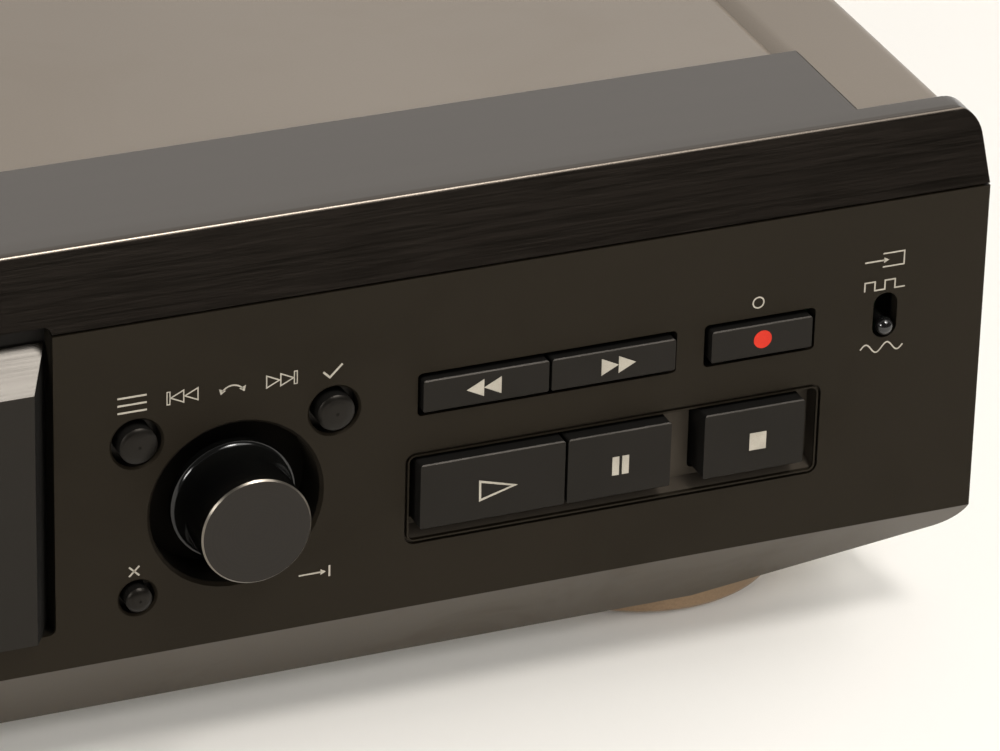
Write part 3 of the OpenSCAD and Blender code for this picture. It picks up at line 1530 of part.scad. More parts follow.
module lead_screw() {
  turns = floor((screw_back - screw_front - 1) / screw_pitch);
  color("silver") {
    turned(screw_x, rod_z, concat(
      [[0, screw_front - 3], [spindle_r, screw_front - 3], [spindle_r, screw_front + 0.4]],
      [for (i = [0:turns - 1]) for (p = [[1.15, 0], [lead_r, 0.3], [lead_r, 0.7]])
          [p[0], screw_front + 0.4 + (i + p[1]) * screw_pitch]],
      [[spindle_r, screw_front + 0.4 + turns * screw_pitch], [spindle_r, screw_back + 9],
        [0, screw_back + 9]]
    ));
  }
}

// flat-sided motor that turns the lead screw
module sled_motor() {
  flat = rod_z - deck_top;
  color([0.5, 0.5, 0.52]) difference() {
    intersection() {
      rod_along_y(6, screw_x, screw_back + 3, screw_back + 15, rod_z);
      block([screw_x - 7, screw_back, rod_z - flat], [screw_x + 7, screw_back + 20, rod_z + flat]);
    }
    rod_along_y(spindle_r + run_gap, screw_x, screw_back, screw_back + 9.5, rod_z);
  }
}

module head_arm() {
  color([0.75, 0.75, 0.72]) {
    rod_along_x(2, bay_x - 4.2, bay_x + 4.2, hinge_y, hinge_z);
    rod_along_x(spindle_r, bay_x - 6.6, bay_x + 6.6, hinge_y, hinge_z);
    block([bay_x - 4, lens_y - 3, hinge_z - 0.6], [bay_x + 4, hinge_y, hinge_z + 0.6]);
    block([bay_x - 2, lens_y - 2.5, hinge_z - 2], [bay_x + 2, lens_y + 2.5, hinge_z - 0.5]);
  }
}

bottom_chassis();
rear_panel();
top_cover();
front_fascia();
fascia_trim();
feet();
foot_pads();
case_screws();
bay_bezel();
display_window();
slot_flap();
eject_button();
jog_knob();
encoder_shaft();
encoder_collar();
jog_encoder();
menu_button();
yes_button();
clear_button();
rewind_button();
forward_button();
record_button();
play_button();
pause_button();
stop_button();
input_lever();
input_switch();
power_button();
standby_lamp();
ir_window();
phones_jack();
display_button();
front_board();
left_board();
tact_switches();
display_tube();
display_board();
phono_sockets();
optical_sockets();
mains_inlet();
transformer();
power_board();
capacitors();
heatsink();
main_board();
mech_bracket();
mech_dampers();
mech_frame();
cartridge_holder();
loading_slider();
loading_gear();
loading_pinion();
loading_motor();
spindle_motor();
turntable();
pickup_sled();
guide_rods();
lead_screw();
sled_motor();
head_arm();
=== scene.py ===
import json
import math

import bmesh
import bpy
from mathutils import Matrix, Vector


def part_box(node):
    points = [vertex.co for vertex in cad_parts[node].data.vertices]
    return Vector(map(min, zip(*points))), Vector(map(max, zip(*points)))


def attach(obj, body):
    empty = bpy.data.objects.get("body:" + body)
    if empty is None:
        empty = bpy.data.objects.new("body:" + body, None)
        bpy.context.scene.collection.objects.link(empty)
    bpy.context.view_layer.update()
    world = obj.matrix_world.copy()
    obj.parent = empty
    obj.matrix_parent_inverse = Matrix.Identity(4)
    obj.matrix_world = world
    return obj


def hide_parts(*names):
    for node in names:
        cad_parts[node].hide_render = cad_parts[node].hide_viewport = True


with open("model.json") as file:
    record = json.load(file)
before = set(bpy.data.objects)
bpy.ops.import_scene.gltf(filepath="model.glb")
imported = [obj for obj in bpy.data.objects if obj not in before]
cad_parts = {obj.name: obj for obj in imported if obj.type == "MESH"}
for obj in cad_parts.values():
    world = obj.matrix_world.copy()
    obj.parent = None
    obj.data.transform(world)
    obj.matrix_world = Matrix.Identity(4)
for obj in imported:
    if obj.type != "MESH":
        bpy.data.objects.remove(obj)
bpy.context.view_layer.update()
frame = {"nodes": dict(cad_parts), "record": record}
nodes = frame["nodes"]
scene = bpy.context.scene
print("frame loaded:", len(nodes), "nodes")

mm = 0.001
tiny = 1e-6  # lengths under this count as none

# places on the deck, in mm, as the frame has them
deck = {
    "panelY": -132.8,
    "rowKeyY": -133.8,
    "pocketKeyY": -134.8,
    "ejectKeyY": -136.3,
    "rearY": 131.2,
    "bayX": -19.6,
    "knobX": 85.35,
    "knobZ": 48.405,
}


def tone(red, green, blue):
    # a colour as the eye reads it, 0 to 255, made linear
    def linear(value):
        value /= 255
        return value / 12.92 if value <= 0.04045 else ((value + 0.055) / 1.055) ** 2.4
    return (linear(red), linear(green), linear(blue), 1)


def newMesh(name, bm, material, smooth=True, angle=35):
    mesh = bpy.data.meshes.new(name)
    bmesh.ops.recalc_face_normals(bm, faces=bm.faces)
    for face in bm.faces:
        face.smooth = smooth
    bm.edges.ensure_lookup_table()
    for edge in bm.edges:
        if len(edge.link_faces) == 2 and edge.calc_face_angle(0) > math.radians(angle):
            edge.smooth = False
    bm.to_mesh(mesh)
    bm.free()
    mesh.materials.append(material)
    piece = bpy.data.objects.new(name, mesh)
    scene.collection.objects.link(piece)
    return piece


def place(piece, body):
    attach(piece, body)


def addTurned(bm, profile, steps, toPoint):
    # turns a closed profile of (radius, height) round its axis
    rings = []
    for radius, height in profile:
        if radius < tiny:
            rings.append([bm.verts.new(toPoint(0, 0, height))])
            continue
        ring = []
        for i in range(steps):
            turn = 2 * math.pi * i / steps
            ring.append(bm.verts.new(toPoint(radius * math.cos(turn), radius * math.sin(turn), height)))
        rings.append(ring)
    closed = profile[0][0] > tiny
    pairs = list(zip(rings, rings[1:])) + ([(rings[-1], rings[0])] if closed else [])
    for low, high in pairs:
        for i in range(steps):
            j = (i + 1) % steps
            corners = []
            for vert in (low[i % len(low)], low[j % len(low)], high[j % len(high)], high[i % len(high)]):
                if vert not in corners:
                    corners.append(vert)
            if len(corners) > 2:
                bm.faces.new(corners)


def addPlate(bm, outline, front, back):
    # a flat shape in the panel's plane, from its outline of (x, z)
    near = [bm.verts.new((x * mm, front * mm, z * mm)) for x, z in outline]
    far = [bm.verts.new((x * mm, back * mm, z * mm)) for x, z in outline]
    bm.faces.new(near)
    bm.faces.new(far[::-1])
    for i in range(len(outline)):
        j = (i + 1) % len(outline)
        bm.faces.new((near[j], near[i], far[i], far[j]))


def addStroke(bm, points, width, front, back, closed=False):
    # a printed line of even width, with mitred corners that are cut off where they are sharp
    sharpest = 0.35
    count = len(points)
    sides = [[], []]
    for i, point in enumerate(points):
        here = Vector(point)
        before = Vector(points[i - 1]) if i > 0 or closed else None
        after = Vector(points[(i + 1) % count]) if i < count - 1 or closed else None
        into = (here - before).normalized() if before is not None else (after - here).normalized()
        out = (after - here).normalized() if after is not None else into
        bend = (into + out).normalized() if (into + out).length > tiny else into
        across = Vector((-bend.y, bend.x))
        reach = width / 2 / max(sharpest, abs(across.dot(Vector((-into.y, into.x)))))
        sides[0].append(here + across * reach)
        sides[1].append(here - across * reach)
    rows = []
    for left, right in zip(*sides):
        rows.append([bm.verts.new((p.x * mm, y * mm, p.y * mm))
                     for y in (front, back) for p in (left, right)])
    spans = count if closed else count - 1
    for i in range(spans):
        a, b = rows[i], rows[(i + 1) % count]
        for m, n in ((0, 1), (1, 3), (3, 2), (2, 0)):
            bm.faces.new((a[m], a[n], b[n], b[m]))
    if not closed:
        bm.faces.new((rows[0][0], rows[0][2], rows[0][3], rows[0][1]))
        bm.faces.new((rows[-1][0], rows[-1][1], rows[-1][3], rows[-1][2]))


def ringPoints(x, z, radius, start=0, end=360, steps=32):
    # points on a circle, or on a part of it in degrees
    whole = end - start >= 360
    count = steps if whole else steps + 1
    turns = [math.radians(start + (end - start) * i / steps) for i in range(count)]
    return [(x + radius * math.cos(t), z + radius * math.sin(t)) for t in turns]


def fillInputs(tree, node, values):
    # another node's socket is linked, and a plain value is set
    for key, value in values.items():
        if isinstance(value, bpy.types.NodeSocket):
            tree.links.new(value, node.inputs[key])
        else:
            node.inputs[key].default_value = value


def addNode(tree, kind, settings=None, inputs=None):
    node = tree.nodes.new(kind)
    for key, value in (settings or {}).items():
        setattr(node, key, value)
    fillInputs(tree, node, inputs or {})
    return node


def mathNode(tree, operation, *values, clamp=False):
    settings = {"operation": operation, "use_clamp": clamp}
    return addNode(tree, "ShaderNodeMath", settings, dict(enumerate(values))).outputs[0]


def vectorMath(tree, operation, *values):
    return addNode(tree, "ShaderNodeVectorMath", {"operation": operation}, dict(enumerate(values))).outputs


def splitVector(tree, vector):
    return addNode(tree, "ShaderNodeSeparateXYZ", None, {0: vector}).outputs


def addNoise(tree, vector, scale, detail, rough, distortion=0.0):
    inputs = {"Vector": vector, "Scale": scale, "Detail": detail, "Roughness": rough,
              "Distortion": distortion}
    return addNode(tree, "ShaderNodeTexNoise", None, inputs).outputs["Fac"]


def spread(tree, source, low, high, start=0.3, end=0.7, kind="LINEAR"):
    # what runs from start to end is laid out from low to high
    inputs = {"Value": source, "From Min": start, "From Max": end, "To Min": low, "To Max": high}
    return addNode(tree, "ShaderNodeMapRange", {"interpolation_type": kind}, inputs).outputs["Result"]


def blendTones(tree, mask, dark, light):
    inputs = {"Factor": mask, "A": dark, "B": light}
    return addNode(tree, "ShaderNodeMix", {"data_type": "RGBA"}, inputs).outputs["Result"]


def weigh(tree, first, second, share=0.6):
    # the first by its share, and the second by the rest
    part = mathNode(tree, "MULTIPLY", first, share)
    return mathNode(tree, "ADD", part, mathNode(tree, "MULTIPLY", second, 1 - share))


def newGroup(name, inputs, outputs):
    # a shader group with a Vector, named inputs, and outputs that are all numbers
    group = bpy.data.node_groups.new(name, "ShaderNodeTree")
    for label, value in {"Vector": (0, 0, 0), **inputs}.items():
        kind = "NodeSocketFloat" if isinstance(value, float) else "NodeSocketVector"
        group.interface.new_socket(label, in_out="INPUT", socket_type=kind).default_value = value
    for label in outputs:
        group.interface.new_socket(label, in_out="OUTPUT", socket_type="NodeSocketFloat")
    return group, group.nodes.new("NodeGroupInput").outputs, group.nodes.new("NodeGroupOutput")


def buildFineGrain():
    # moulded or painted grain: two sizes of noise
    group, given, end = newGroup("fineGrain", {"Size": 3000.0, "Cloud": 40.0}, ("Grain", "Cloud", "Height"))
    grain = addNoise(group, given["Vector"], given["Size"], detail=2.0, rough=0.6)
    cloud = addNoise(group, given["Vector"], given["Cloud"], detail=3.0, rough=0.5)
    height = mathNode(group, "MULTIPLY", grain, 0.9)
    fillInputs(group, end, {"Grain": grain, "Cloud": cloud, "Height": height})
    return group


def buildBrushedLines():
    # fine lines along X, from noise drawn out along it
    group, given, end = newGroup("brushedLines", {"Along": 12.0, "Across": 2600.0},
                                 ("Lines", "Streaks", "Height"))
    stretch = addNode(group, "ShaderNodeCombineXYZ", None,
                      {0: given["Along"], 1: given["Across"], 2: given["Across"]}).outputs[0]
    drawn = vectorMath(group, "MULTIPLY", given["Vector"], stretch)[0]
    fine = addNoise(group, drawn, scale=1.0, detail=3.0, rough=0.65)
    wide = addNoise(group, drawn, scale=0.27, detail=2.0, rough=0.5)
    fillInputs(group, end, {"Lines": fine, "Streaks": wide, "Height": mathNode(group, "ADD", fine, wide)})
    return group


def buildTurnedRings():
    # lathe marks round an axis along Y: noise of the distance from it
    group, given, end = newGroup("turnedRings", {"Centre": (0, 0, 0), "Size": 3500.0}, ("Lines", "Height"))
    offset = vectorMath(group, "SUBTRACT", given["Vector"], given["Centre"])[0]
    flat = vectorMath(group, "MULTIPLY", offset, (1, 0, 1))[0]
    far = vectorMath(group, "LENGTH", flat)["Value"]
    rings = addNode(group, "ShaderNodeTexNoise", {"noise_dimensions": "1D"},
                    {"W": far, "Scale": given["Size"], "Detail": 2.0, "Roughness": 0.6}).outputs["Fac"]
    fillInputs(group, end, {"Lines": rings, "Height": rings})
    return group


def buildSmudges():
    # faint handling marks: soft clouds with a hard threshold
    group, given, end = newGroup("smudges", {"Size": 22.0}, ("Mask",))
    cloud = addNoise(group, given["Vector"], given["Size"], detail=4.0, rough=0.62, distortion=0.6)
    fillInputs(group, end, {"Mask": spread(group, cloud, 0, 1, 0.48, 0.72, "SMOOTHSTEP")})
    return group


def buildTracks():
    # copper tracks under a board's mask
    group, given, end = newGroup("boardTracks", {"Size": 160.0}, ("Mask",))
    cells = addNode(group, "ShaderNodeTexBrick", {"offset": 0.37, "squash": 1.6, "squash_frequency": 3},
                    {"Vector": given["Vector"], "Scale": given["Size"], "Mortar Size": 0.06,
                     "Mortar Smooth": 0.1, "Brick Width": 0.9, "Row Height": 0.33})
    fillInputs(group, end, {"Mask": cells.outputs["Fac"]})
    return group


effects = {
    "fineGrain": buildFineGrain(),
    "brushedLines": buildBrushedLines(),
    "turnedRings": buildTurnedRings(),
    "smudges": buildSmudges(),
    "boardTracks": buildTracks(),
}


def startMaterial(name, plain=None):
    # plain holds what is the same all over the surface
    material = bpy.data.materials.new(name)
    material.use_nodes = True
    tree = material.node_tree
    shader = tree.nodes["Principled BSDF"]
    fillInputs(tree, shader, plain or {})
    return material, tree, shader, addNode(tree, "ShaderNodeTexCoord").outputs["Object"]


def useEffect(tree, name, vector, values):
    inputs = {"Vector": vector, **values}
    return addNode(tree, "ShaderNodeGroup", {"node_tree": effects[name]}, inputs).outputs


def addBump(tree, shader, height, strength, depth):
    bump = addNode(tree, "ShaderNodeBump", None,
                   {"Strength": strength, "Distance": depth * mm, "Height": height})
    fillInputs(tree, shader, {"Normal": bump.outputs["Normal"]})


# grained finishes: two tones, roughness from and to, grain and clouds per metre, bump in mm;
# darkSides is how far a face has to look forward to keep its tone; the other faces get painted shade, black
grained = {
    "coverPaint": dict(dark=tone(112, 101, 88), light=tone(117, 106, 93), rough=(0.38, 0.42),
                       size=2600, cloud=14, bump=0.012),
    "frontPlastic": dict(dark=tone(12, 9, 5), light=tone(17, 13, 8), rough=(0.54, 0.62),
                         size=3800, cloud=18, bump=0.006,
                         plain={"Specular IOR Level": 0.27, "Specular Tint": (1, 0.85, 0.64, 1)},
                         # below the crease the bevel is glossier, and a lighter warm tone on it is a painted
                         # reflection of the floor
                         satin=dict(belowZ=23.8, less=0.24, tone=tone(42, 32, 14)),
                         # hollows: painted shade, black, in the recess, the bay and the holes of the front
                         hollows=dict(backY=-132.3, lowZ=24.3, half=200, pocket=(113.9, 186.5, 35.3, 51.9),
                                      # the keys' pocket gets painted light, a paler tone than the front
                                      inside=tone(54, 49, 43))),
    "keyPlastic": dict(dark=tone(8, 7, 5), light=tone(13, 11, 9), rough=(0.36, 0.44),
                       size=3400, cloud=60, bump=0.003,
                       plain={"Specular IOR Level": 0.24, "Specular Tint": (1, 0.92, 0.82, 1)},
                       darkSides=0.12),
    "knobSide": dict(dark=tone(8, 8, 8), light=tone(12, 12, 11), rough=(0.12, 0.2),
                     size=3400, cloud=90, bump=0.001),
    "leverGloss": dict(dark=tone(15, 15, 15), light=tone(21, 20, 20), rough=(0.08, 0.13),
                       size=3000, cloud=300, bump=0.001, plain={"Coat Weight": 0.4}),
    "blackPlastic": dict(dark=tone(14, 14, 14), light=tone(20, 20, 20), rough=(0.42, 0.58),
                         size=2400, cloud=40, bump=0.008, plain={"Specular IOR Level": 0.45}),
    "footPlastic": dict(dark=tone(120, 98, 74), light=tone(138, 114, 88), rough=(0.3, 0.42),
                        size=2200, cloud=50, bump=0.008),
    "footRubber": dict(dark=tone(28, 27, 26), light=tone(38, 36, 34), rough=(0.75, 0.9),
                       size=1800, cloud=60, bump=0.02, plain={"Specular IOR Level": 0.3}),
    "damperRubber": dict(dark=tone(30, 30, 34), light=tone(42, 42, 46), rough=(0.6, 0.75),
                         size=1600, cloud=60, bump=0.02, plain={"Specular IOR Level": 0.35}),
    "whitePlastic": dict(dark=tone(222, 218, 206), light=tone(232, 229, 219), rough=(0.4, 0.5),
                         size=2200, cloud=50, bump=0.008),
    "zincSteel": dict(dark=tone(168, 168, 162), light=tone(196, 195, 188), rough=(0.32, 0.5),
                      size=900, cloud=90, bump=0.006, plain={"Metallic": 0.9}),
    "darkSteel": dict(dark=tone(30, 29, 28), light=tone(38, 37, 35), rough=(0.5, 0.62),
                      size=3000, cloud=25, bump=0.01, plain={"Specular IOR Level": 0.35}),
    "screwSteel": dict(dark=tone(52, 50, 48), light=tone(80, 77, 73), rough=(0.28, 0.4),
                       size=2600, cloud=200, bump=0.005, plain={"Metallic": 1.0}),
    "brightSteel": dict(dark=tone(196, 196, 196), light=tone(216, 216, 216), rough=(0.16, 0.26),
                        size=3000, cloud=120, bump=0.003, plain={"Metallic": 1.0}),
    "motorSteel": dict(dark=tone(150, 150, 152), light=tone(176, 176, 177), rough=(0.3, 0.42),
                       size=1500, cloud=120, bump=0.006, plain={"Metallic": 1.0}),
    "heatsinkMetal": dict(dark=tone(150, 152, 154), light=tone(172, 173, 174), rough=(0.35, 0.5),
                          size=1200, cloud=80, bump=0.01, plain={"Metallic": 1.0}),
    "socketMetal": dict(dark=tone(196, 190, 172), light=tone(216, 210, 192), rough=(0.2, 0.32),
                        size=2200, cloud=160, bump=0.004, plain={"Metallic": 1.0}),
    "pinionBrass": dict(dark=tone(196, 160, 92), light=tone(216, 182, 112), rough=(0.24, 0.36),
                        size=2200, cloud=160, bump=0.004, plain={"Metallic": 1.0}),
    "coreIron": dict(dark=tone(58, 54, 48), light=tone(86, 80, 72), rough=(0.4, 0.6),
                     size=700, cloud=60, bump=0.03, plain={"Metallic": 0.6}),
    "canSleeve": dict(dark=tone(26, 34, 74), light=tone(32, 42, 88), rough=(0.22, 0.32),
                      size=1400, cloud=70, bump=0.004, plain={"Coat Weight": 0.3}),
    "lampPlastic": dict(dark=tone(120, 22, 14), light=tone(150, 34, 22), rough=(0.1, 0.16),
                        size=1400, cloud=200, bump=0.002, plain={"Coat Weight": 0.6}),
    "irPlastic": dict(dark=tone(36, 8, 12), light=tone(46, 11, 16), rough=(0.06, 0.1),
                      size=1400, cloud=90, bump=0.001, plain={"Coat Weight": 0.5}),
    "inkCream": dict(dark=tone(152, 146, 133), light=tone(166, 159, 146), rough=(0.5, 0.6),
                     size=5000, cloud=400, bump=0.002, plain={"Specular IOR Level": 0.3}),
    "inkRed": dict(dark=tone(178, 31, 11), light=tone(192, 39, 15), rough=(0.45, 0.55),
                   size=5000, cloud=400, bump=0.002, plain={"Specular IOR Level": 0.3}),
    "phosphor": dict(dark=tone(106, 122, 114), light=tone(128, 146, 136), rough=(0.6, 0.75),
                     size=6000, cloud=500, bump=0.002, plain={"Specular IOR Level": 0.2}),
    "collarWhite": dict(dark=tone(214, 211, 203), light=tone(226, 223, 216), rough=(0.35, 0.45),
                        size=2500, cloud=200, bump=0.004, plain={"Specular IOR Level": 0.45}),
    "collarRed": dict(dark=tone(158, 28, 24), light=tone(176, 38, 32), rough=(0.35, 0.45),
                      size=2500, cloud=200, bump=0.004, plain={"Specular IOR Level": 0.45}),
}

# brushed finishes: lines along X; noise per metre along and across
brushed = {
    "brushedTrim": dict(dark=tone(3, 2, 1), light=tone(22, 18, 15), rough=(0.16, 0.22),
                        along=80, across=4200, bump=0.003,
                        plain={"Specular IOR Level": 0.95, "Specular Tint": (1, 0.86, 0.72, 1)}),
    "bezelPlastic": dict(dark=tone(9, 8, 6), light=tone(17, 14, 11), rough=(0.17, 0.25),
                         along=30, across=3000, bump=0.004,
                         plain={"Specular IOR Level": 0.3, "Specular Tint": (1, 0.93, 0.84, 1)},
                         # frontOnly: painted shade, black, on all but the bezel's face and facet
                         frontOnly=dict(frontY=-135.4, backY=-129.1, half=71.12, slant=0.59)),
}

# boards: mask colour over copper tracks
boards = {
    "circuitBoard": dict(dark=tone(20, 74, 42), light=tone(44, 112, 66), size=150, bump=0.03,
                         plain={"Roughness": 0.35, "Coat Weight": 0.2}),
    "brownBoard": dict(dark=tone(122, 86, 44), light=tone(148, 108, 60), size=110, bump=0.03,
                       plain={"Roughness": 0.5}),
}

# turned finishes: dark anodised metal with lathe marks, and the diamond-cut chamfer round it
turned = {
    "knobMetal": dict(dark=tone(17, 15, 13), light=tone(24, 21, 19), rough=(0.28, 0.34), size=3600,
                      bump=0.001, plain={"Specular IOR Level": 0.33, "Specular Tint": (1, 0.93, 0.84, 1)}),
    "knobEdge": dict(dark=tone(110, 104, 96), light=tone(140, 133, 123), rough=(0.24, 0.34), size=5200,
                     plain={"Metallic": 1.0}),
}

# smoked and clear glass, with a faint haze
glasses = {
    "windowGlass": dict(tint=tone(118, 118, 124), rough=(0.01, 0.03), size=30),
    "tubeGlass": dict(tint=tone(200, 208, 208), rough=(0.02, 0.05), size=50),
}

# painted shade: the plain black, dull tone put where a mask is 0
paintedShade = dict(tone=tone(4, 4, 4), dull=0.4)  # what isn't kept bright by a mask


def paintShadeOffFront(tree, front, colour, rough):
    # where the mask is 0 the colour is painted shade, plain black, and the surface is dull
    dull = mathNode(tree, "MULTIPLY", mathNode(tree, "SUBTRACT", 1, front), paintedShade["dull"])
    return blendTones(tree, front, paintedShade["tone"], colour), mathNode(tree, "ADD", rough, dull, clamp=True)


def betweenMask(tree, value, low, high):
    return mathNode(tree, "COMPARE", value, (low + high) / 2 * mm, (high - low) / 2 * mm)


def hollowMask(tree, vector, spec):
    # first, 0 in the recess, the bay and the holes of the front, where shade is painted; then, 1 in the keys'
    # pocket, where light is painted
    x, y, z = splitVector(tree, vector)
    sunk = mathNode(tree, "GREATER_THAN", y, spec["backY"] * mm)
    over = mathNode(tree, "GREATER_THAN", z, spec["lowZ"] * mm)
    between = mathNode(tree, "LESS_THAN", mathNode(tree, "ABSOLUTE", x), spec["half"] * mm)
    hollow = mathNode(tree, "MULTIPLY", mathNode(tree, "MULTIPLY", sunk, over), between)
    left, right, low, high = spec["pocket"]
    pocket = mathNode(tree, "MULTIPLY", betweenMask(tree, x, left, right), betweenMask(tree, z, low, high))
    pocket = mathNode(tree, "MULTIPLY", hollow, pocket)
    return mathNode(tree, "SUBTRACT", 1, mathNode(tree, "SUBTRACT", hollow, pocket)), pocket


def facingMask(tree, limit):
    # 1 on faces that look forward and on their rounded edges, 0 on sides
    normal = addNode(tree, "ShaderNodeTexCoord").outputs["Normal"]
    return mathNode(tree, "LESS_THAN", splitVector(tree, normal)["Y"], -limit)


def frontMask(tree, vector, spec):
    # 1 on the bezel's face and facet, 0 behind them and on the slanted ends, where shade is painted
    x, y, z = splitVector(tree, vector)
    ahead = mathNode(tree, "LESS_THAN", y, spec["backY"] * mm)
    aside = mathNode(tree, "ABSOLUTE", mathNode(tree, "SUBTRACT", x, deck["bayX"] * mm))
    behind = mathNode(tree, "SUBTRACT", y, spec["frontY"] * mm)
    aside = mathNode(tree, "SUBTRACT", aside, mathNode(tree, "MULTIPLY", behind, spec["slant"]))
    return mathNode(tree, "MULTIPLY", ahead, mathNode(tree, "LESS_THAN", aside, spec["half"] * mm))


def makeGrained(name, spec):
    material, tree, shader, vector = startMaterial(name, spec.get("plain"))
    grain = useEffect(tree, "fineGrain", vector, {"Size": spec["size"], "Cloud": spec["cloud"]})
    smudge = useEffect(tree, "smudges", vector, {"Size": spec["cloud"] * 1.7})
    mixed = spread(tree, weigh(tree, grain["Cloud"], grain["Grain"]), 0, 1, 0.38, 0.62)
    colour = blendTones(tree, mixed, spec["dark"], spec["light"])
    rough = spread(tree, smudge["Mask"], *spec["rough"], 0, 1)
    # below the crease: less roughness, and the lighter tone there is a painted reflection
    if "satin" in spec:
        satin = spec["satin"]
        below = mathNode(tree, "LESS_THAN", splitVector(tree, vector)["Z"], satin["belowZ"] * mm)
        rough = mathNode(tree, "SUBTRACT", rough, mathNode(tree, "MULTIPLY", below, satin["less"]))
        colour = blendTones(tree, below, colour, satin["tone"])
    if "hollows" in spec:
        front, pocket = hollowMask(tree, vector, spec["hollows"])
        # painted light: the keys' pocket is given a paler tone
        colour = blendTones(tree, pocket, colour, spec["hollows"]["inside"])
        # the recess, the bay and the holes get painted shade, black
        colour, rough = paintShadeOffFront(tree, front, colour, rough)
    if "darkSides" in spec:
        # faces of the keys that don't look forward get painted shade, black
        colour, rough = paintShadeOffFront(tree, facingMask(tree, spec["darkSides"]), colour, rough)
    fillInputs(tree, shader, {"Base Color": colour, "Roughness": rough})
    addBump(tree, shader, grain["Height"], strength=0.5, depth=spec["bump"])
    return material


def makeBrushed(name, spec):
    material, tree, shader, vector = startMaterial(name, spec["plain"])
    lines = useEffect(tree, "brushedLines", vector, {"Along": spec["along"], "Across": spec["across"]})
    mixed = spread(tree, weigh(tree, lines["Lines"], lines["Streaks"]), 0, 1, 0.36, 0.66)
    colour = blendTones(tree, mixed, spec["dark"], spec["light"])
    rough = spread(tree, lines["Lines"], *spec["rough"])
    if "frontOnly" in spec:
        # behind the bezel's face and on its slanted ends: painted shade, black
        colour, rough = paintShadeOffFront(tree, frontMask(tree, vector, spec["frontOnly"]), colour, rough)
    fillInputs(tree, shader, {"Base Color": colour, "Roughness": rough})
    addBump(tree, shader, lines["Height"], strength=0.6, depth=spec["bump"])
    return material


def makeBoard(name, spec):
    material, tree, shader, vector = startMaterial(name, spec["plain"])
    tracks = useEffect(tree, "boardTracks", vector, {"Size": spec["size"]})["Mask"]
    fillInputs(tree, shader, {"Base Color": blendTones(tree, tracks, spec["dark"], spec["light"])})
    addBump(tree, shader, tracks, strength=0.4, depth=spec["bump"])
    return material


def makeTurned(name, spec):
    material, tree, shader, vector = startMaterial(name, spec["plain"])
    centre = (deck["knobX"] * mm, 0, deck["knobZ"] * mm)
    rings = useEffect(tree, "turnedRings", vector, {"Centre": centre, "Size": spec["size"]})
    colour = blendTones(tree, spread(tree, rings["Lines"], 0, 1), spec["dark"], spec["light"])
    rough = spread(tree, rings["Lines"], *spec["rough"])
    fillInputs(tree, shader, {"Base Color": colour, "Roughness": rough})
    if "bump" in spec:
        addBump(tree, shader, rings["Height"], strength=0.3, depth=spec["bump"])
    return material


def makeGlass(name, spec):
    material, tree, shader, vector = startMaterial(name, {"Transmission Weight": 1.0, "IOR": 1.49})
    haze = useEffect(tree, "smudges", vector, {"Size": spec["size"]})["Mask"]
    hazed = [channel * 0.96 for channel in spec["tint"][:3]] + [1]
    fillInputs(tree, shader, {"Base Color": blendTones(tree, haze, spec["tint"], hazed),
                              "Roughness": spread(tree, haze, *spec["rough"], 0, 1)})
    return material


materials = {}
for make, finishes in ((makeGrained, grained), (makeBrushed, brushed), (makeBoard, boards),
                       (makeTurned, turned), (makeGlass, glasses)):
    for finish, spec in finishes.items():
        materials[finish] = make(finish, spec)
print("materials made:", len(materials))

# edges that catch the light, in mm
softEdges = {
    "top_cover": 0.25, "front_fascia": 0.16, "fascia_trim": 0.42, "bay_bezel": 0.15, "slot_flap": 0.15,
    "rear_panel": 0.15, "display_window": 0.12, "eject_button": 0.15, "display_button": 0.16,
    "menu_button": 0.2, "yes_button": 0.2, "clear_button": 0.16,
}
for barKey in ("rewind", "forward", "record", "play", "pause", "stop"):
    softEdges[barKey + "_button"] = 0.26

edgeFinish = {"smoothUnder": 32, "roundOver": 34, "segments": 2}  # angles in degrees


def newShape(name, inputs):
    # a Geometry Nodes tree, its inputs' identifiers, what it is given and its end
    tree = bpy.data.node_groups.new(name, "GeometryNodeTree")
    ids = {}
    for label, kind in {"Geometry": "Geometry", **inputs}.items():
        socket = tree.interface.new_socket(label, in_out="INPUT", socket_type="NodeSocket" + kind)
        ids[label] = socket.identifier
    tree.interface.new_socket("Geometry", in_out="OUTPUT", socket_type="NodeSocketGeometry")
    return tree, ids, tree.nodes.new("NodeGroupInput").outputs, tree.nodes.new("NodeGroupOutput")


def buildRoundShade():
    # shades curved faces smooth and keeps edges over the angle sharp
    tree, ids, given, end = newShape("roundShade", {"Angle": "Float"})
    bend = addNode(tree, "GeometryNodeInputMeshEdgeAngle").outputs["Unsigned Angle"]
    faces = addNode(tree, "GeometryNodeSetShadeSmooth", {"domain": "FACE"},
                    {"Geometry": given["Geometry"], "Shade Smooth": True}).outputs["Geometry"]
    low = mathNode(tree, "LESS_THAN", bend, given["Angle"])
    edges = addNode(tree, "GeometryNodeSetShadeSmooth", {"domain": "EDGE"},
                    {"Geometry": faces, "Shade Smooth": low}).outputs["Geometry"]
    fillInputs(tree, end, {"Geometry": edges})
    return tree, ids["Angle"]


roundShade, roundAngle = buildRoundShade()


def shadeRound(node):
    weld = node.modifiers.new("weld", "WELD")
    weld.merge_threshold = tiny
    shade = node.modifiers.new("roundShade", "NODES")
    shade.node_group = roundShade
    shade[roundAngle] = math.radians(edgeFinish["smoothUnder"])


def softenEdges(node, width):
    bevel = node.modifiers.new("softEdge", "BEVEL")
    bevel.width = width * mm
    bevel.segments = edgeFinish["segments"]
    bevel.limit_method = "ANGLE"
    bevel.angle_limit = math.radians(edgeFinish["roundOver"])
    bevel.harden_normals = True


def slotMaterial(slot):
    # the frame's cover_paint is coverPaint here
    first, *rest = slot.split("_")
    return materials[first + "".join(word.capitalize() for word in rest)]


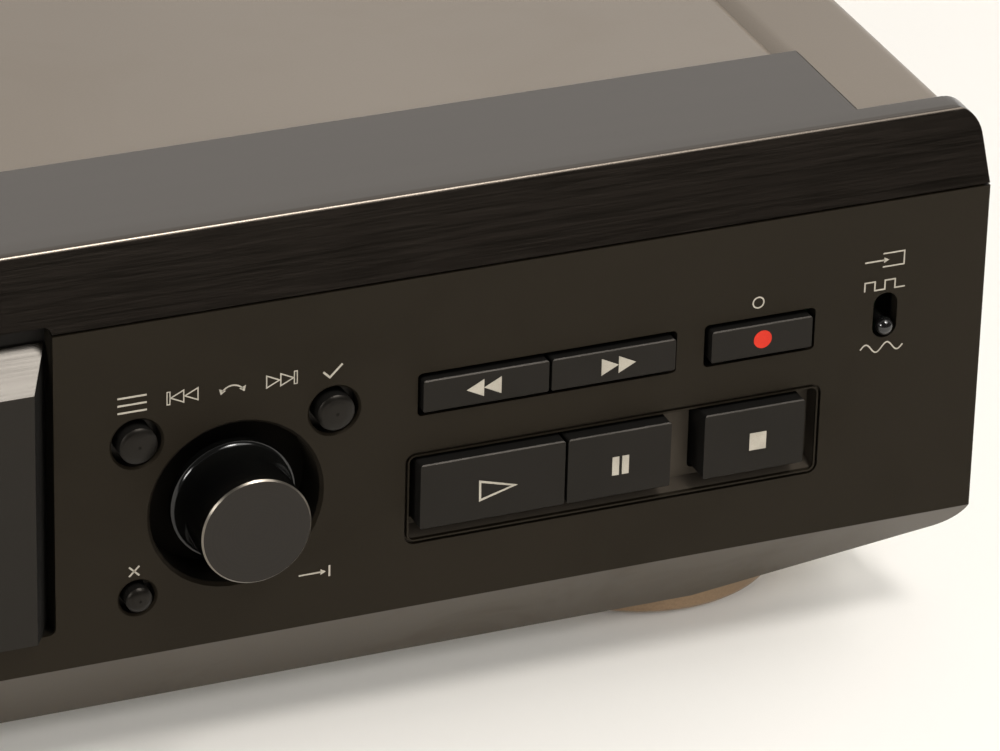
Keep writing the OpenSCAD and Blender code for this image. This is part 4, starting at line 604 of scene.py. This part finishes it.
for part in frame["record"]["subparts"]:
    node = nodes[part["node"]]
    node.data.materials.clear()
    node.data.materials.append(slotMaterial(part["material_slot"]))
    shadeRound(node)
    if part["node"] in softEdges:
        softenEdges(node, softEdges[part["node"]])
print("frame parts finished")

# the face is dished a little, and the band is the part of the edge behind the chamfer
knob = {
    "faceY": -142.5, "backY": -127.2, "radius": 9.13, "chamfer": 0.28, "dish": 0.04, "dishHalfway": 0.03,
    "halfway": 0.55, "rim": 0.1, "band": 0.15, "flareY": -135.2, "flareRun": 3.7, "flareSteps": 14,
    "skirtRadius": 10.4, "skirtEndY": -130.2, "hubRadius": 5.2, "skirtWall": 1.6, "steps": 144,
    "nearly": 0.998,
}


def knobPoint(a, b, along):
    return ((deck["knobX"] + a) * mm, along * mm, (deck["knobZ"] + b) * mm)


def buildKnob():
    k = knob
    radius, faceY = k["radius"], k["faceY"]
    flat, edgeY = radius - k["chamfer"], faceY + k["chamfer"]
    profile = [(0, faceY + k["dish"]), (radius * k["halfway"], faceY + k["dishHalfway"]),
               (flat - k["rim"], faceY), (flat, faceY), (radius, edgeY), (radius, edgeY + k["band"]),
               (radius, k["flareY"])]
    flare = k["skirtRadius"] - radius
    for i in range(1, k["flareSteps"] + 1):
        turn = math.radians(90 * i / k["flareSteps"])
        profile.append((radius + flare * (1 - math.cos(turn)), k["flareY"] + k["flareRun"] * math.sin(turn)))
    inner = k["skirtRadius"] - k["skirtWall"]
    profile += [(k["skirtRadius"], k["skirtEndY"]), (inner, k["skirtEndY"]), (inner, deck["panelY"]),
                (k["hubRadius"], deck["panelY"]), (k["hubRadius"], k["backY"]), (0, k["backY"])]
    bm = bmesh.new()
    addTurned(bm, profile, k["steps"], knobPoint)
    piece = newMesh("knobBody", bm, materials["knobMetal"], angle=20)
    piece.data.materials.append(materials["knobEdge"])
    piece.data.materials.append(materials["knobSide"])
    for face in piece.data.polygons:
        centre = face.center
        out = math.hypot(centre.x - deck["knobX"] * mm, centre.z - deck["knobZ"] * mm)
        if centre.y > edgeY * mm:
            face.material_index = 2
        elif out > flat * mm * k["nearly"]:
            face.material_index = 1
    place(piece, "knob")
    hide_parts("jog_knob")


buildKnob()
print("knob made")

# round feet with a rounded rim, a sunk ring for the pad and a hole for the screw
feet = {
    "radius": 25, "height": 10, "low": 1.2, "rim": 1.5, "padIn": 7, "padOut": 18, "padDeep": 0.6,
    "padEdge": (0.9, 0.5, 0.5), "screwHole": 1.9, "headHole": 4.2, "headDeep": 5, "steps": 120,
}


def buildFeet():
    f = feet
    low, high = (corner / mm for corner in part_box("feet"))
    bm = bmesh.new()
    side = f["radius"] - f["rim"]
    padZ, headZ = f["low"] + f["padDeep"], f["height"] - f["headDeep"]
    wider, lessWide, rise = f["padEdge"]
    profile = [(f["screwHole"], f["height"]), (side, f["height"])]
    profile += ringPoints(side, f["height"] - f["rim"], f["rim"], 75, 0, 5)
    profile += ringPoints(side, f["low"] + f["rim"], f["rim"], 0, -90, 6)
    profile += [(f["padOut"] + wider, f["low"]), (f["padOut"] + lessWide, f["low"] + rise),
                (f["padOut"], padZ), (f["padIn"], padZ), (f["padIn"], f["low"]),
                (f["headHole"], f["low"]), (f["headHole"], headZ), (f["screwHole"], headZ)]
    for x in (low.x + f["radius"], high.x - f["radius"]):
        for y in (low.y + f["radius"], high.y - f["radius"]):
            addTurned(bm, profile, f["steps"],
                      lambda a, b, h, x=x, y=y: ((x + a) * mm, (y + b) * mm, h * mm))
    piece = newMesh("roundFeet", bm, materials["footPlastic"], angle=40)
    place(piece, "case")
    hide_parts("feet")


buildFeet()
print("feet made")

# a stick with a ball tip, and the foot that slides in the switch
lever = {
    "tipY": -132.6, "ball": 1.55, "ballSteps": 20, "ballTurn": 140, "neck": 1.0, "stemEndY": -118.4,
    "steps": 48, "foot": (2.2, 4.5, 1.8), "footEdge": 0.25,
}


def buildLever():
    v = lever
    low, high = (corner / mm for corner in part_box("input_lever"))
    x = (low.x + high.x) / 2
    z = (low.z + high.z) / 2
    profile = []
    for i in range(v["ballSteps"] + 1):
        turn = math.radians(v["ballTurn"] * i / v["ballSteps"])
        profile.append((v["ball"] * math.sin(turn), v["tipY"] - v["ball"] * math.cos(turn)))
    profile += [(v["neck"], v["tipY"] + v["ball"]), (v["neck"], v["stemEndY"]), (0, v["stemEndY"])]
    bm = bmesh.new()
    addTurned(bm, profile, v["steps"], lambda a, b, along: ((x + a) * mm, along * mm, (z + b) * mm))
    halfX, deep, halfZ = v["foot"]
    foot = bmesh.ops.create_cube(bm, size=1, matrix=Matrix.LocRotScale(
        (x * mm, (high.y - deep / 2) * mm, z * mm), None, (2 * halfX * mm, deep * mm, 2 * halfZ * mm)))
    edges = {edge for vert in foot["verts"] for edge in vert.link_edges}
    bmesh.ops.bevel(bm, geom=list(edges), offset=v["footEdge"] * mm, segments=2, affect="EDGES")
    piece = newMesh("leverStick", bm, materials["leverGloss"])
    place(piece, "input_lever")
    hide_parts("input_lever")


buildLever()
print("lever made")

# coloured collars on the line sockets
collars = {
    "columns": (150, 172), "right": 36, "left": 54, "inner": 4.2, "outer": 5.15, "base": 2, "rise": 0.45,
    "edge": 0.12, "steps": 64,
}


def buildCollars(name, z, finish):
    c = collars
    low = deck["rearY"] + c["base"]
    high = low + c["rise"]
    profile = [(c["inner"], low), (c["outer"], low), (c["outer"], high - c["edge"]),
               (c["outer"] - c["edge"], high), (c["inner"] + c["edge"], high), (c["inner"], high - c["edge"])]
    bm = bmesh.new()
    for x in c["columns"]:
        addTurned(bm, profile, c["steps"],
                  lambda a, b, along, x=x: ((x + a) * mm, along * mm, (z + b) * mm))
    place(newMesh(name, bm, materials[finish]), "case")


buildCollars("rightCollars", collars["right"], "collarRed")
buildCollars("leftCollars", collars["left"], "collarWhite")
print("collars made")

ink = {"up": 0.04, "into": 0.01, "line": 0.24}  # how far it stands off and goes in, and a line's width, in mm


def inkPiece(name, body, front, lines=(), shapes=(), finish="inkCream", slot="key_plastic"):
    near, far = front - ink["up"], front + ink["into"]
    bm = bmesh.new()
    for points, width, closed in lines:
        addStroke(bm, points, width, near, far, closed)
    for outline in shapes:
        addPlate(bm, outline, near, far)
    place(newMesh(name, bm, materials[finish], smooth=False), body)


def boxPoints(left, low, right, high):
    return [(left, low), (right, low), (right, high), (left, high)]


def arrow(start, end, head=0.9):
    # a shaft and a solid head, pointing right
    base = end - head
    return [(start, 0), (base + 0.1, 0)], [(end, 0), (base, head * 0.55), (base, -head * 0.55)]


def skipLines(side):
    # an outlined bar, and two outlined triangles that point at it
    lines = [(boxPoints(-0.24, -1.1, 0.24, 1.1), 0.7, True)]
    for tip in (0.35, 2.7):
        base = side * (tip + 2.15)
        lines.append(([(side * tip, 0), (base, 1.05), (base, -1.05)], 0.85, True))
    return lines


def turnHead(side, radius=2.1, at=20):
    # a solid head at one end of the turning arc
    x = side * radius * math.cos(math.radians(at))
    z = radius * math.sin(math.radians(at))
    return [(x, z), (x - side * 0.85, z + 0.6), (x + side * 0.25, z + 1.05)][::side]


pressShaft, pressHead = arrow(-3, 1.6)
inputShaft, inputHead = arrow(-3.8, 0.5)

# each mark's place, and from there its lines as points, width in lines and closed, and its solid shapes
frontMarks = {
    "skipBack": dict(at=(74.15, 69.15), lines=skipLines(1)),
    "skipOn": dict(at=(95.2, 69.15), lines=skipLines(-1)),
    "menu": dict(at=(68.2, 69.2), lines=[([(-2.4, z), (2.4, z)], 1.3, False) for z in (-1.3, 0, 1.3)]),
    "tick": dict(at=(101.3, 69.1), lines=[([(-1.5, 0.1), (-0.4, -1), (1.7, 1.1)], 1.4, False)]),
    "cross": dict(at=(68.4, 39.4), lines=[([(-0.85, -z), (0.85, z)], 1.2, False) for z in (-0.85, 0.85)]),
    "press": dict(at=(99, 33.2), lines=[(pressShaft, 1.1, False), ([(2.2, -1), (2.2, 1)], 1.3, False)],
                  shapes=[pressHead]),
    "turn": dict(at=(84.7, 67.5), lines=[(ringPoints(0, 0, 2.1, 35, 145, 18), 1, False)],
                 shapes=[turnHead(-1), turnHead(1)]),
    "ring": dict(at=(174.5, 68.6), lines=[(ringPoints(0, 0, 0.95), 1, True)]),
    "input": dict(at=(197, 72.5), shapes=[inputHead], lines=[
        (inputShaft, 1.1, False), ([(-0.6, 1.2), (3.2, 1.2), (3.2, -1.2), (-0.6, -1.2)], 1, False)]),
    "digital": dict(at=(197, 68), lines=[([
        (-3.6, -0.8), (-3.6, 0.8), (-1.8, 0.8), (-1.8, -0.8), (0, -0.8), (0, 0.8), (1.8, 0.8), (1.8, -0.8),
        (3.6, -0.8)], 1, False)]),
    "analog": dict(at=(197, 56.6), lines=[(
        [(-3.8 + 7.6 * i / 36, 0.8 * math.sin(4 * math.pi * i / 36)) for i in range(37)], 1, False)]),
    "power": dict(at=(-177.5, 63.54), lines=[(ringPoints(0, 0, 1.5, 120, 420, 26), 1.2, False),
                                             ([(0, 0.06), (0, 1.86)], 1.2, False)]),
    "phones": dict(at=(-190, 47.2), lines=[(ringPoints(0, 0, 1.7, 0, 180, 16), 1.1, False)],
                   shapes=[boxPoints(x - 0.35, -1.3, x + 0.35, 0.1) for x in (-1.7, 1.7)]),
    "display": dict(at=(-150, 46.2), lines=[(boxPoints(-2.2, -1.2, 2.2, 1.2), 1, True),
                                            ([(-1.3, 0), (1.3, 0)], 1, False)]),
}

# marks on the keys, where they stand on the deck
keyMarks = {
    "playMark": dict(body="play", front=deck["pocketKeyY"],
                     lines=[([(126.0, 45.8), (126.06, 42.4), (132.0, 44.1)], 0.38, True)]),
    "pauseMark": dict(body="pause", front=deck["pocketKeyY"],
                      shapes=[boxPoints(x, 42.6, x + 1.2, 45.95) for x in (148.95, 150.66)]),
    "stopMark": dict(body="stop", front=deck["pocketKeyY"], shapes=[boxPoints(173.15, 42.75, 176.1, 45.9)]),
    "recordMark": dict(body="record", front=deck["rowKeyY"], finish="inkRed",
                       shapes=[ringPoints(175.1, 62.35, 1.58, steps=40)]),
    "ejectMark": dict(body="eject", front=deck["ejectKeyY"],
                      shapes=[[(27.0, 69.9), (29.8, 69.9), (28.4, 71.3)],
                              boxPoints(27.0, 68.9, 29.8, 69.45)]),
}


def printFront():
    lines, shapes = [], []
    for mark in frontMarks.values():
        atX, atZ = mark["at"]
        for points, width, closed in mark["lines"]:
            lines.append(([(atX + x, atZ + z) for x, z in points], ink["line"] * width, closed))
        for points in mark.get("shapes", ()):
            shapes.append([(atX + x, atZ + z) for x, z in points])
    inkPiece("frontMarks", "case", deck["panelY"], lines, shapes, slot="front_plastic")


def copyAlong(tree, shape, count, step, start=(0, 0, 0), turnedTo=None):
    # a shape set down on a row of points
    row = addNode(tree, "GeometryNodeMeshLine", {"mode": "OFFSET"},
                  {"Count": count, "Start Location": start, "Offset": step}).outputs["Mesh"]
    return addNode(tree, "GeometryNodeInstanceOnPoints", None,
                   {"Points": row, "Instance": shape, **(turnedTo or {})}).outputs["Instances"]


def finishShape(tree, end, instances, material):
    real = addNode(tree, "GeometryNodeRealizeInstances", None, {"Geometry": instances}).outputs["Geometry"]
    finished = addNode(tree, "GeometryNodeSetMaterial", None, {"Geometry": real, "Material": material})
    fillInputs(tree, end, {"Geometry": finished.outputs["Geometry"]})


def buildTriangleRow():
    # a row of solid triangles, as on the search keys
    tree, ids, given, end = newShape("triangleRow", {
        "Count": "Int", "Step": "Vector", "Start": "Vector", "Turn": "Float", "Size": "Vector",
        "Ink": "Material"})
    prism = addNode(tree, "GeometryNodeMeshCylinder", None, {"Vertices": 3, "Radius": 1.0, "Depth": 1.0})
    turn = addNode(tree, "ShaderNodeCombineXYZ", None, {0: math.pi / 2, 1: given["Turn"]})
    row = copyAlong(tree, prism.outputs["Mesh"], given["Count"], given["Step"], given["Start"],
                    {"Rotation": turn.outputs[0], "Scale": given["Size"]})
    finishShape(tree, end, row, given["Ink"])
    return tree, ids


def bakeTree(name, tree, ids, values):
    # runs a tree once and keeps its plain mesh
    holder = bpy.data.objects.new(name + "Source", bpy.data.meshes.new(name + "Source"))
    scene.collection.objects.link(holder)
    modifier = holder.modifiers.new(name, "NODES")
    modifier.node_group = tree
    for label, value in values.items():
        modifier[ids[label]] = value
    graph = bpy.context.evaluated_depsgraph_get()
    mesh = bpy.data.meshes.new_from_object(holder.evaluated_get(graph))
    holder.modifiers.clear()
    bpy.data.objects.remove(holder)
    mesh.name = name
    piece = bpy.data.objects.new(name, mesh)
    scene.collection.objects.link(piece)
    return piece


searchMarks = {"half": 1.52, "length": 2.98, "z": 62.2, "rewindTip": 123.72, "forwardBase": 146.9}


def printSearchMarks():
    tree, ids = buildTriangleRow()
    s = searchMarks
    long, halfWide = 1.5, 0.866  # of a three-sided prism of radius 1
    size = (s["length"] / long * mm, s["half"] / halfWide * mm, 2 * ink["up"] * mm)
    third = s["length"] / 3
    for body, startX, turn in (("rewind", s["rewindTip"] + 2 * third, math.pi),
                               ("forward", s["forwardBase"] + third, 0)):
        piece = bakeTree(body + "Mark", tree, ids, {
            "Count": 2, "Step": (s["length"] * mm, 0, 0), "Turn": turn, "Size": size,
            "Start": (startX * mm, deck["rowKeyY"] * mm, s["z"] * mm), "Ink": materials["inkCream"]})
        place(piece, body)


printFront()
for keyMark, spec in keyMarks.items():
    inkPiece(keyMark, **spec)
printSearchMarks()
print("marks printed")

# the display's cells, behind the window: letters of dots, and two rows of a meter
displayCells = {
    "dotCells": {"Columns": 5, "Rows": 7, "Step": (1.05, 0, 1.25), "Cell": (0.82, 0.06, 1.0),
                 "Groups": 12, "Group Step": (6.7, 0, 0), "Start": (-64, -126.64, 49.2)},
    "meterCells": {"Columns": 30, "Rows": 2, "Step": (2.7, 0, 2.8), "Cell": (2.1, 0.06, 1.7),
                   "Groups": 1, "Group Step": (1, 0, 0), "Start": (-64, -126.64, 42.2)},
}


def buildCellGrid():
    # small flat cells on a grid, and that grid set down in a row
    tree, ids, given, end = newShape("cellGrid", {
        "Columns": "Int", "Rows": "Int", "Step": "Vector", "Cell": "Vector", "Groups": "Int",
        "Group Step": "Vector", "Start": "Vector", "Finish": "Material"})
    step = splitVector(tree, given["Step"])
    alongX = addNode(tree, "ShaderNodeCombineXYZ", None, {0: step[0]}).outputs[0]
    alongZ = addNode(tree, "ShaderNodeCombineXYZ", None, {2: step[2]}).outputs[0]
    cell = addNode(tree, "GeometryNodeMeshCube", None, {"Size": given["Cell"]}).outputs["Mesh"]
    column = copyAlong(tree, cell, given["Columns"], alongX)
    grid = copyAlong(tree, column, given["Rows"], alongZ)
    row = copyAlong(tree, grid, given["Groups"], given["Group Step"], given["Start"])
    finishShape(tree, end, row, given["Finish"])
    return tree, ids


def buildDisplay():
    tree, ids = buildCellGrid()
    for name, cells in displayCells.items():
        values = {"Finish": materials["phosphor"]}
        for label, value in cells.items():
            values[label] = value if isinstance(value, int) else tuple(part * mm for part in value)
        place(bakeTree(name, tree, ids, values), "case")


buildDisplay()
print("display made")

# the camera that was fitted to the photo, in metres and mm of lens and film
view = {
    "lens": 219.16, "film": 36, "near": 0.01, "place": (-0.2013, -0.9186, 0.5158),
    "right": (0.92610, -0.37654, 0.02372), "up": (0.15720, 0.44226, 0.88301),
    "ahead": (0.34298, 0.81403, -0.46877),
}


def placeCamera():
    data = bpy.data.cameras.new("camera")
    data.lens = view["lens"]
    data.sensor_width = view["film"]
    data.sensor_fit = "HORIZONTAL"
    data.clip_start = view["near"]
    camera = bpy.data.objects.new("camera", data)
    turned = Matrix((view["right"], view["up"], -Vector(view["ahead"]))).transposed().to_4x4()
    camera.matrix_world = Matrix.Translation(view["place"]) @ turned
    scene.collection.objects.link(camera)
    scene.camera = camera


# the paper turns white from near to far; the room is dark in front of the deck where it is mirrored
studio = {
    "paper": tone(243, 240, 235), "half": 3.0, "grain": {"Size": 260, "Cloud": 2}, "fade": (0.5, 1.3),
    "white": (1, 0.985, 0.965, 1), "roomFade": (-0.35, 0.25), "roomDark": 0.05, "daylight": 0.38,
}

# softbox lights and is mirrored; fill and side only light; the edge lamp and the card are only mirrored
lamps = {
    "softbox": dict(place=(0.4, -0.72, 1.12), aim=(0.05, -0.05, 0.06), size=0.27, power=6.5,
                    tint=(1, 0.975, 0.94)),
    "fillLamp": dict(place=(0.6, -1.9, 0.95), aim=(0.1, -0.12, 0), size=1.4, power=31,
                     tint=(1, 0.985, 0.955), mirrored=False),
    "sideLamp": dict(place=(1.3, 0, 0.8), aim=(0.2, -0.1, 0), size=0.9, power=7,
                     tint=(1, 0.985, 0.955), mirrored=False),
    "edgeLamp": dict(place=(-1.05, -0.7, 0.62), aim=(0.1, -0.13, 0.05), size=0.36, power=7,
                     tint=(1, 0.98, 0.95), lighting=False),
    "highCard": dict(place=(0.64, -0.8, 1.42), aim=(0.1, -0.13, 0.08), size=1.0, power=11,
                     tint=(1, 0.975, 0.94), lighting=False),
}


def rayMasks(tree):
    # 1 for what is seen straight or through glass, and for what is mirrored
    path = addNode(tree, "ShaderNodeLightPath").outputs
    seen = mathNode(tree, "MAXIMUM", path["Is Camera Ray"], path["Is Transmission Ray"])
    return seen, path["Is Glossy Ray"]


def makeFloor():
    bm = bmesh.new()
    bmesh.ops.create_grid(bm, x_segments=8, y_segments=8, size=studio["half"])
    material, tree, shader, vector = startMaterial(
        "floorPaper", {"Roughness": 0.9, "Specular IOR Level": 0.1})
    grain = useEffect(tree, "fineGrain", vector, studio["grain"])
    paler = [min(1, channel * 1.02) for channel in studio["paper"][:3]] + [1]
    fillInputs(tree, shader, {"Base Color": blendTones(tree, grain["Cloud"], studio["paper"], paler)})
    far = vectorMath(tree, "LENGTH", vector)["Value"]
    fade = spread(tree, far, 0, 1, *studio["fade"], "SMOOTHSTEP")
    seen = mathNode(tree, "MAXIMUM", *rayMasks(tree))
    white = addNode(tree, "ShaderNodeEmission", None, {"Color": studio["white"], "Strength": 1.0})
    mixed = addNode(tree, "ShaderNodeMixShader", None, {
        "Fac": mathNode(tree, "MULTIPLY", fade, seen), 1: shader.outputs[0], 2: white.outputs[0]})
    fillInputs(tree, tree.nodes["Material Output"], {"Surface": mixed.outputs[0]})
    newMesh("floorSheet", bm, material)


def lightWorld():
    world = bpy.data.worlds.new("studioWorld")
    scene.world = world
    world.use_nodes = True
    tree = world.node_tree
    tree.nodes.clear()
    seen, mirrored = rayMasks(tree)
    ahead = splitVector(tree, addNode(tree, "ShaderNodeTexCoord").outputs["Generated"])["Y"]
    room = spread(tree, ahead, studio["roomDark"], 1.0, *studio["roomFade"], "SMOOTHSTEP")
    level = mathNode(tree, "MAXIMUM", mathNode(tree, "MULTIPLY", mirrored, room), seen)
    other = mathNode(tree, "SUBTRACT", 1, mathNode(tree, "MAXIMUM", seen, mirrored))
    level = mathNode(tree, "ADD", level, mathNode(tree, "MULTIPLY", other, studio["daylight"]))
    sky = addNode(tree, "ShaderNodeBackground", None, {"Color": studio["white"], "Strength": level})
    addNode(tree, "ShaderNodeOutputWorld", None, {"Surface": sky.outputs[0]})


def addLamp(name, spec):
    data = bpy.data.lights.new(name, "AREA")
    data.shape = "SQUARE"
    data.size = spec["size"]
    data.energy = spec["power"]
    data.color = spec["tint"]
    lamp = bpy.data.objects.new(name, data)
    lamp.location = spec["place"]
    aim = Vector(spec["aim"]) - Vector(spec["place"])
    lamp.rotation_euler = aim.to_track_quat("-Z", "Y").to_euler()
    lamp.visible_glossy = spec.get("mirrored", True)
    lamp.visible_diffuse = spec.get("lighting", True)
    scene.collection.objects.link(lamp)


placeCamera()
makeFloor()
lightWorld()
for lampName, spec in lamps.items():
    addLamp(lampName, spec)
scene.view_settings.view_transform = "Standard"
print("studio set")
